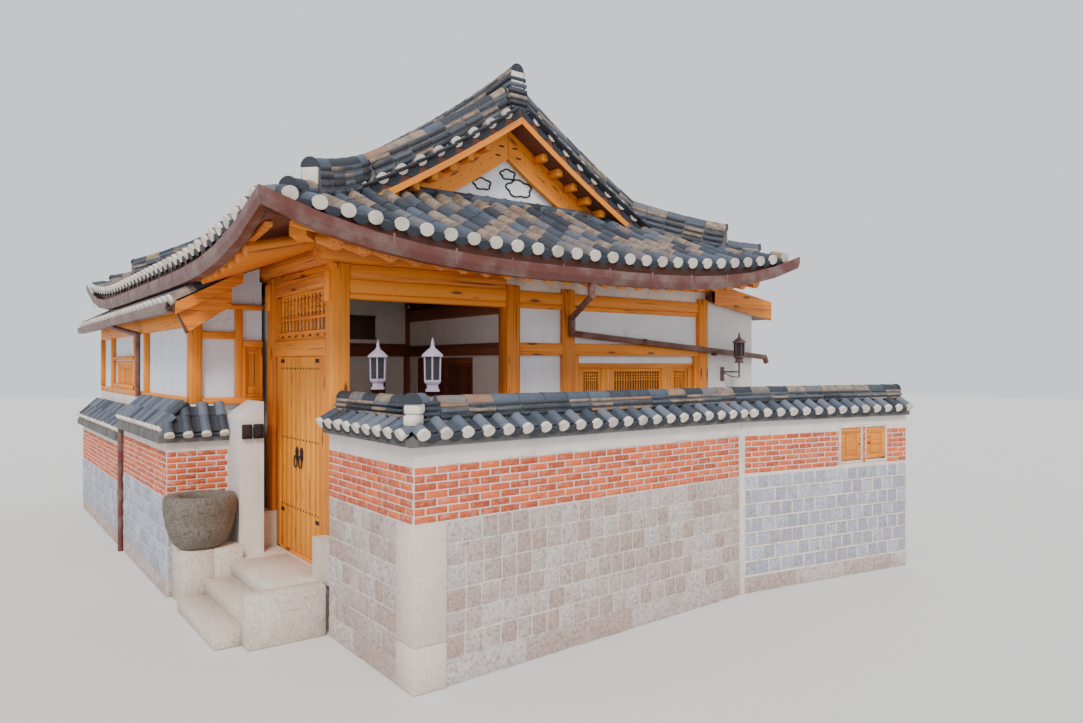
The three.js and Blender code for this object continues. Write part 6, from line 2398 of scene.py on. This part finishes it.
@dataclass(frozen=True)
class Studio:
    """Camera, floor and light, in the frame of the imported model."""

    eye: Triple = (-5.6193, -10.6417, 2.467)
    ahead: Triple = (0.598, 0.8015, 0.0)
    image_width: float = 1083.0
    focal_pixels: float = 790.0
    shift_pixels: float = 3.5
    sensor: float = 36.0

    def camera(self) -> None:
        """Sets the camera at the photograph's viewing angle."""
        data = bpy.data.cameras.new("camera")
        data.sensor_width = self.sensor
        data.lens = self.focal_pixels * self.sensor / self.image_width
        data.shift_y = self.shift_pixels / self.image_width
        data.clip_end = 200
        holder = stand("camera", data)
        gaze = Vector(self.ahead).to_track_quat("-Z", "Y").to_matrix().to_4x4()
        holder.matrix_world = Matrix.Translation(self.eye) @ gaze
        bpy.context.scene.camera = holder

    def floor(self) -> None:
        """Lays the plain pale floor."""
        mesh = bpy.data.meshes.new("floor")
        r = 60.0
        mesh.from_pydata([(-r, -r, -0.002), (r, -r, -0.002), (r, r, -0.002), (-r, r, -0.002)], [], [(0, 1, 2, 3)])
        material = bpy.data.materials.new("floor")
        material.use_nodes = True
        shader = material.node_tree.nodes["Principled BSDF"]
        shader.inputs["Base Color"].default_value = (0.72, 0.71, 0.69, 1)
        shader.inputs["Roughness"].default_value = 0.8
        mesh.materials.append(material)
        stand("floor", mesh)

    def light(self) -> None:
        """Sets the soft sky and a broad sun from the front left."""
        world = bpy.data.worlds.new("sky")
        world.use_nodes = True
        background = world.node_tree.nodes["Background"]
        background.inputs["Color"].default_value = (0.90, 0.94, 1.0, 1)
        background.inputs["Strength"].default_value = 1.08
        bpy.context.scene.world = world
        sun = bpy.data.lights.new("sun", "SUN")
        sun.energy = 2.6
        sun.angle = math.radians(14)
        sun.color = (1.0, 0.96, 0.9)
        stand("sun", sun).matrix_world = Vector((0.42, 0.55, -0.72)).to_track_quat("-Z", "Y").to_matrix().to_4x4()


def main() -> None:
    """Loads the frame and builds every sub-assembly in order."""
    logging.basicConfig(level=logging.INFO, format="%(message)s")
    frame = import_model()
    Shape.shift = np.array(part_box("corner_wall")[0]) - np.array([0.0, 0.0, SITE_BOTTOM])
    studio = Studio()
    studio.camera()
    Shape.palette = make_palette()
    dress_nodes(frame)
    plan = RoofPlan()
    MainRoof(plan).build()
    build_ridges(plan)
    for work in FRAMES + PLAIN_WORK:
        work.build()
    for name, purlin, first, last in (("left", 0.99, 0.91, 0.87), ("right", 0.80, 0.91, 0.87),
                                      ("front", 0.91, 0.99, 0.80), ("back", 0.87, 0.99, 0.80)):
        Rafters(name, plan, purlin, first, last).build()
    for end in ("front", "back"):
        GableBoards(plan, end).build()
    for window in WINDOWS:
        window.build()
    Transom().build()
    GateLeaf("left", (2.979, 3.551)).build()
    GateLeaf("right", (2.399, 2.971)).build()
    for wall in WALLS:
        wall.build()
    build_corner_pier()
    Coping().build()
    build_wing_roofing()
    for name, centre in (("gate", (0.15, 0.94, 1.9603)), ("corner", (0.25, 0.168, 1.9603)),
                         ("side", (5.76, 1.67, 2.195))):
        Lantern(name, centre).build()
    build_gutter_work()
    HatchDoor("left", 1.531).build()
    HatchDoor("right", 1.956).build()
    build_hatch_surround()
    build_hall_work()
    build_side_room()
    build_basin()
    for work in SLABS:
        work.build()
    studio.floor()
    studio.light()
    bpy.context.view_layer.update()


if __name__ == "__main__":
    main()
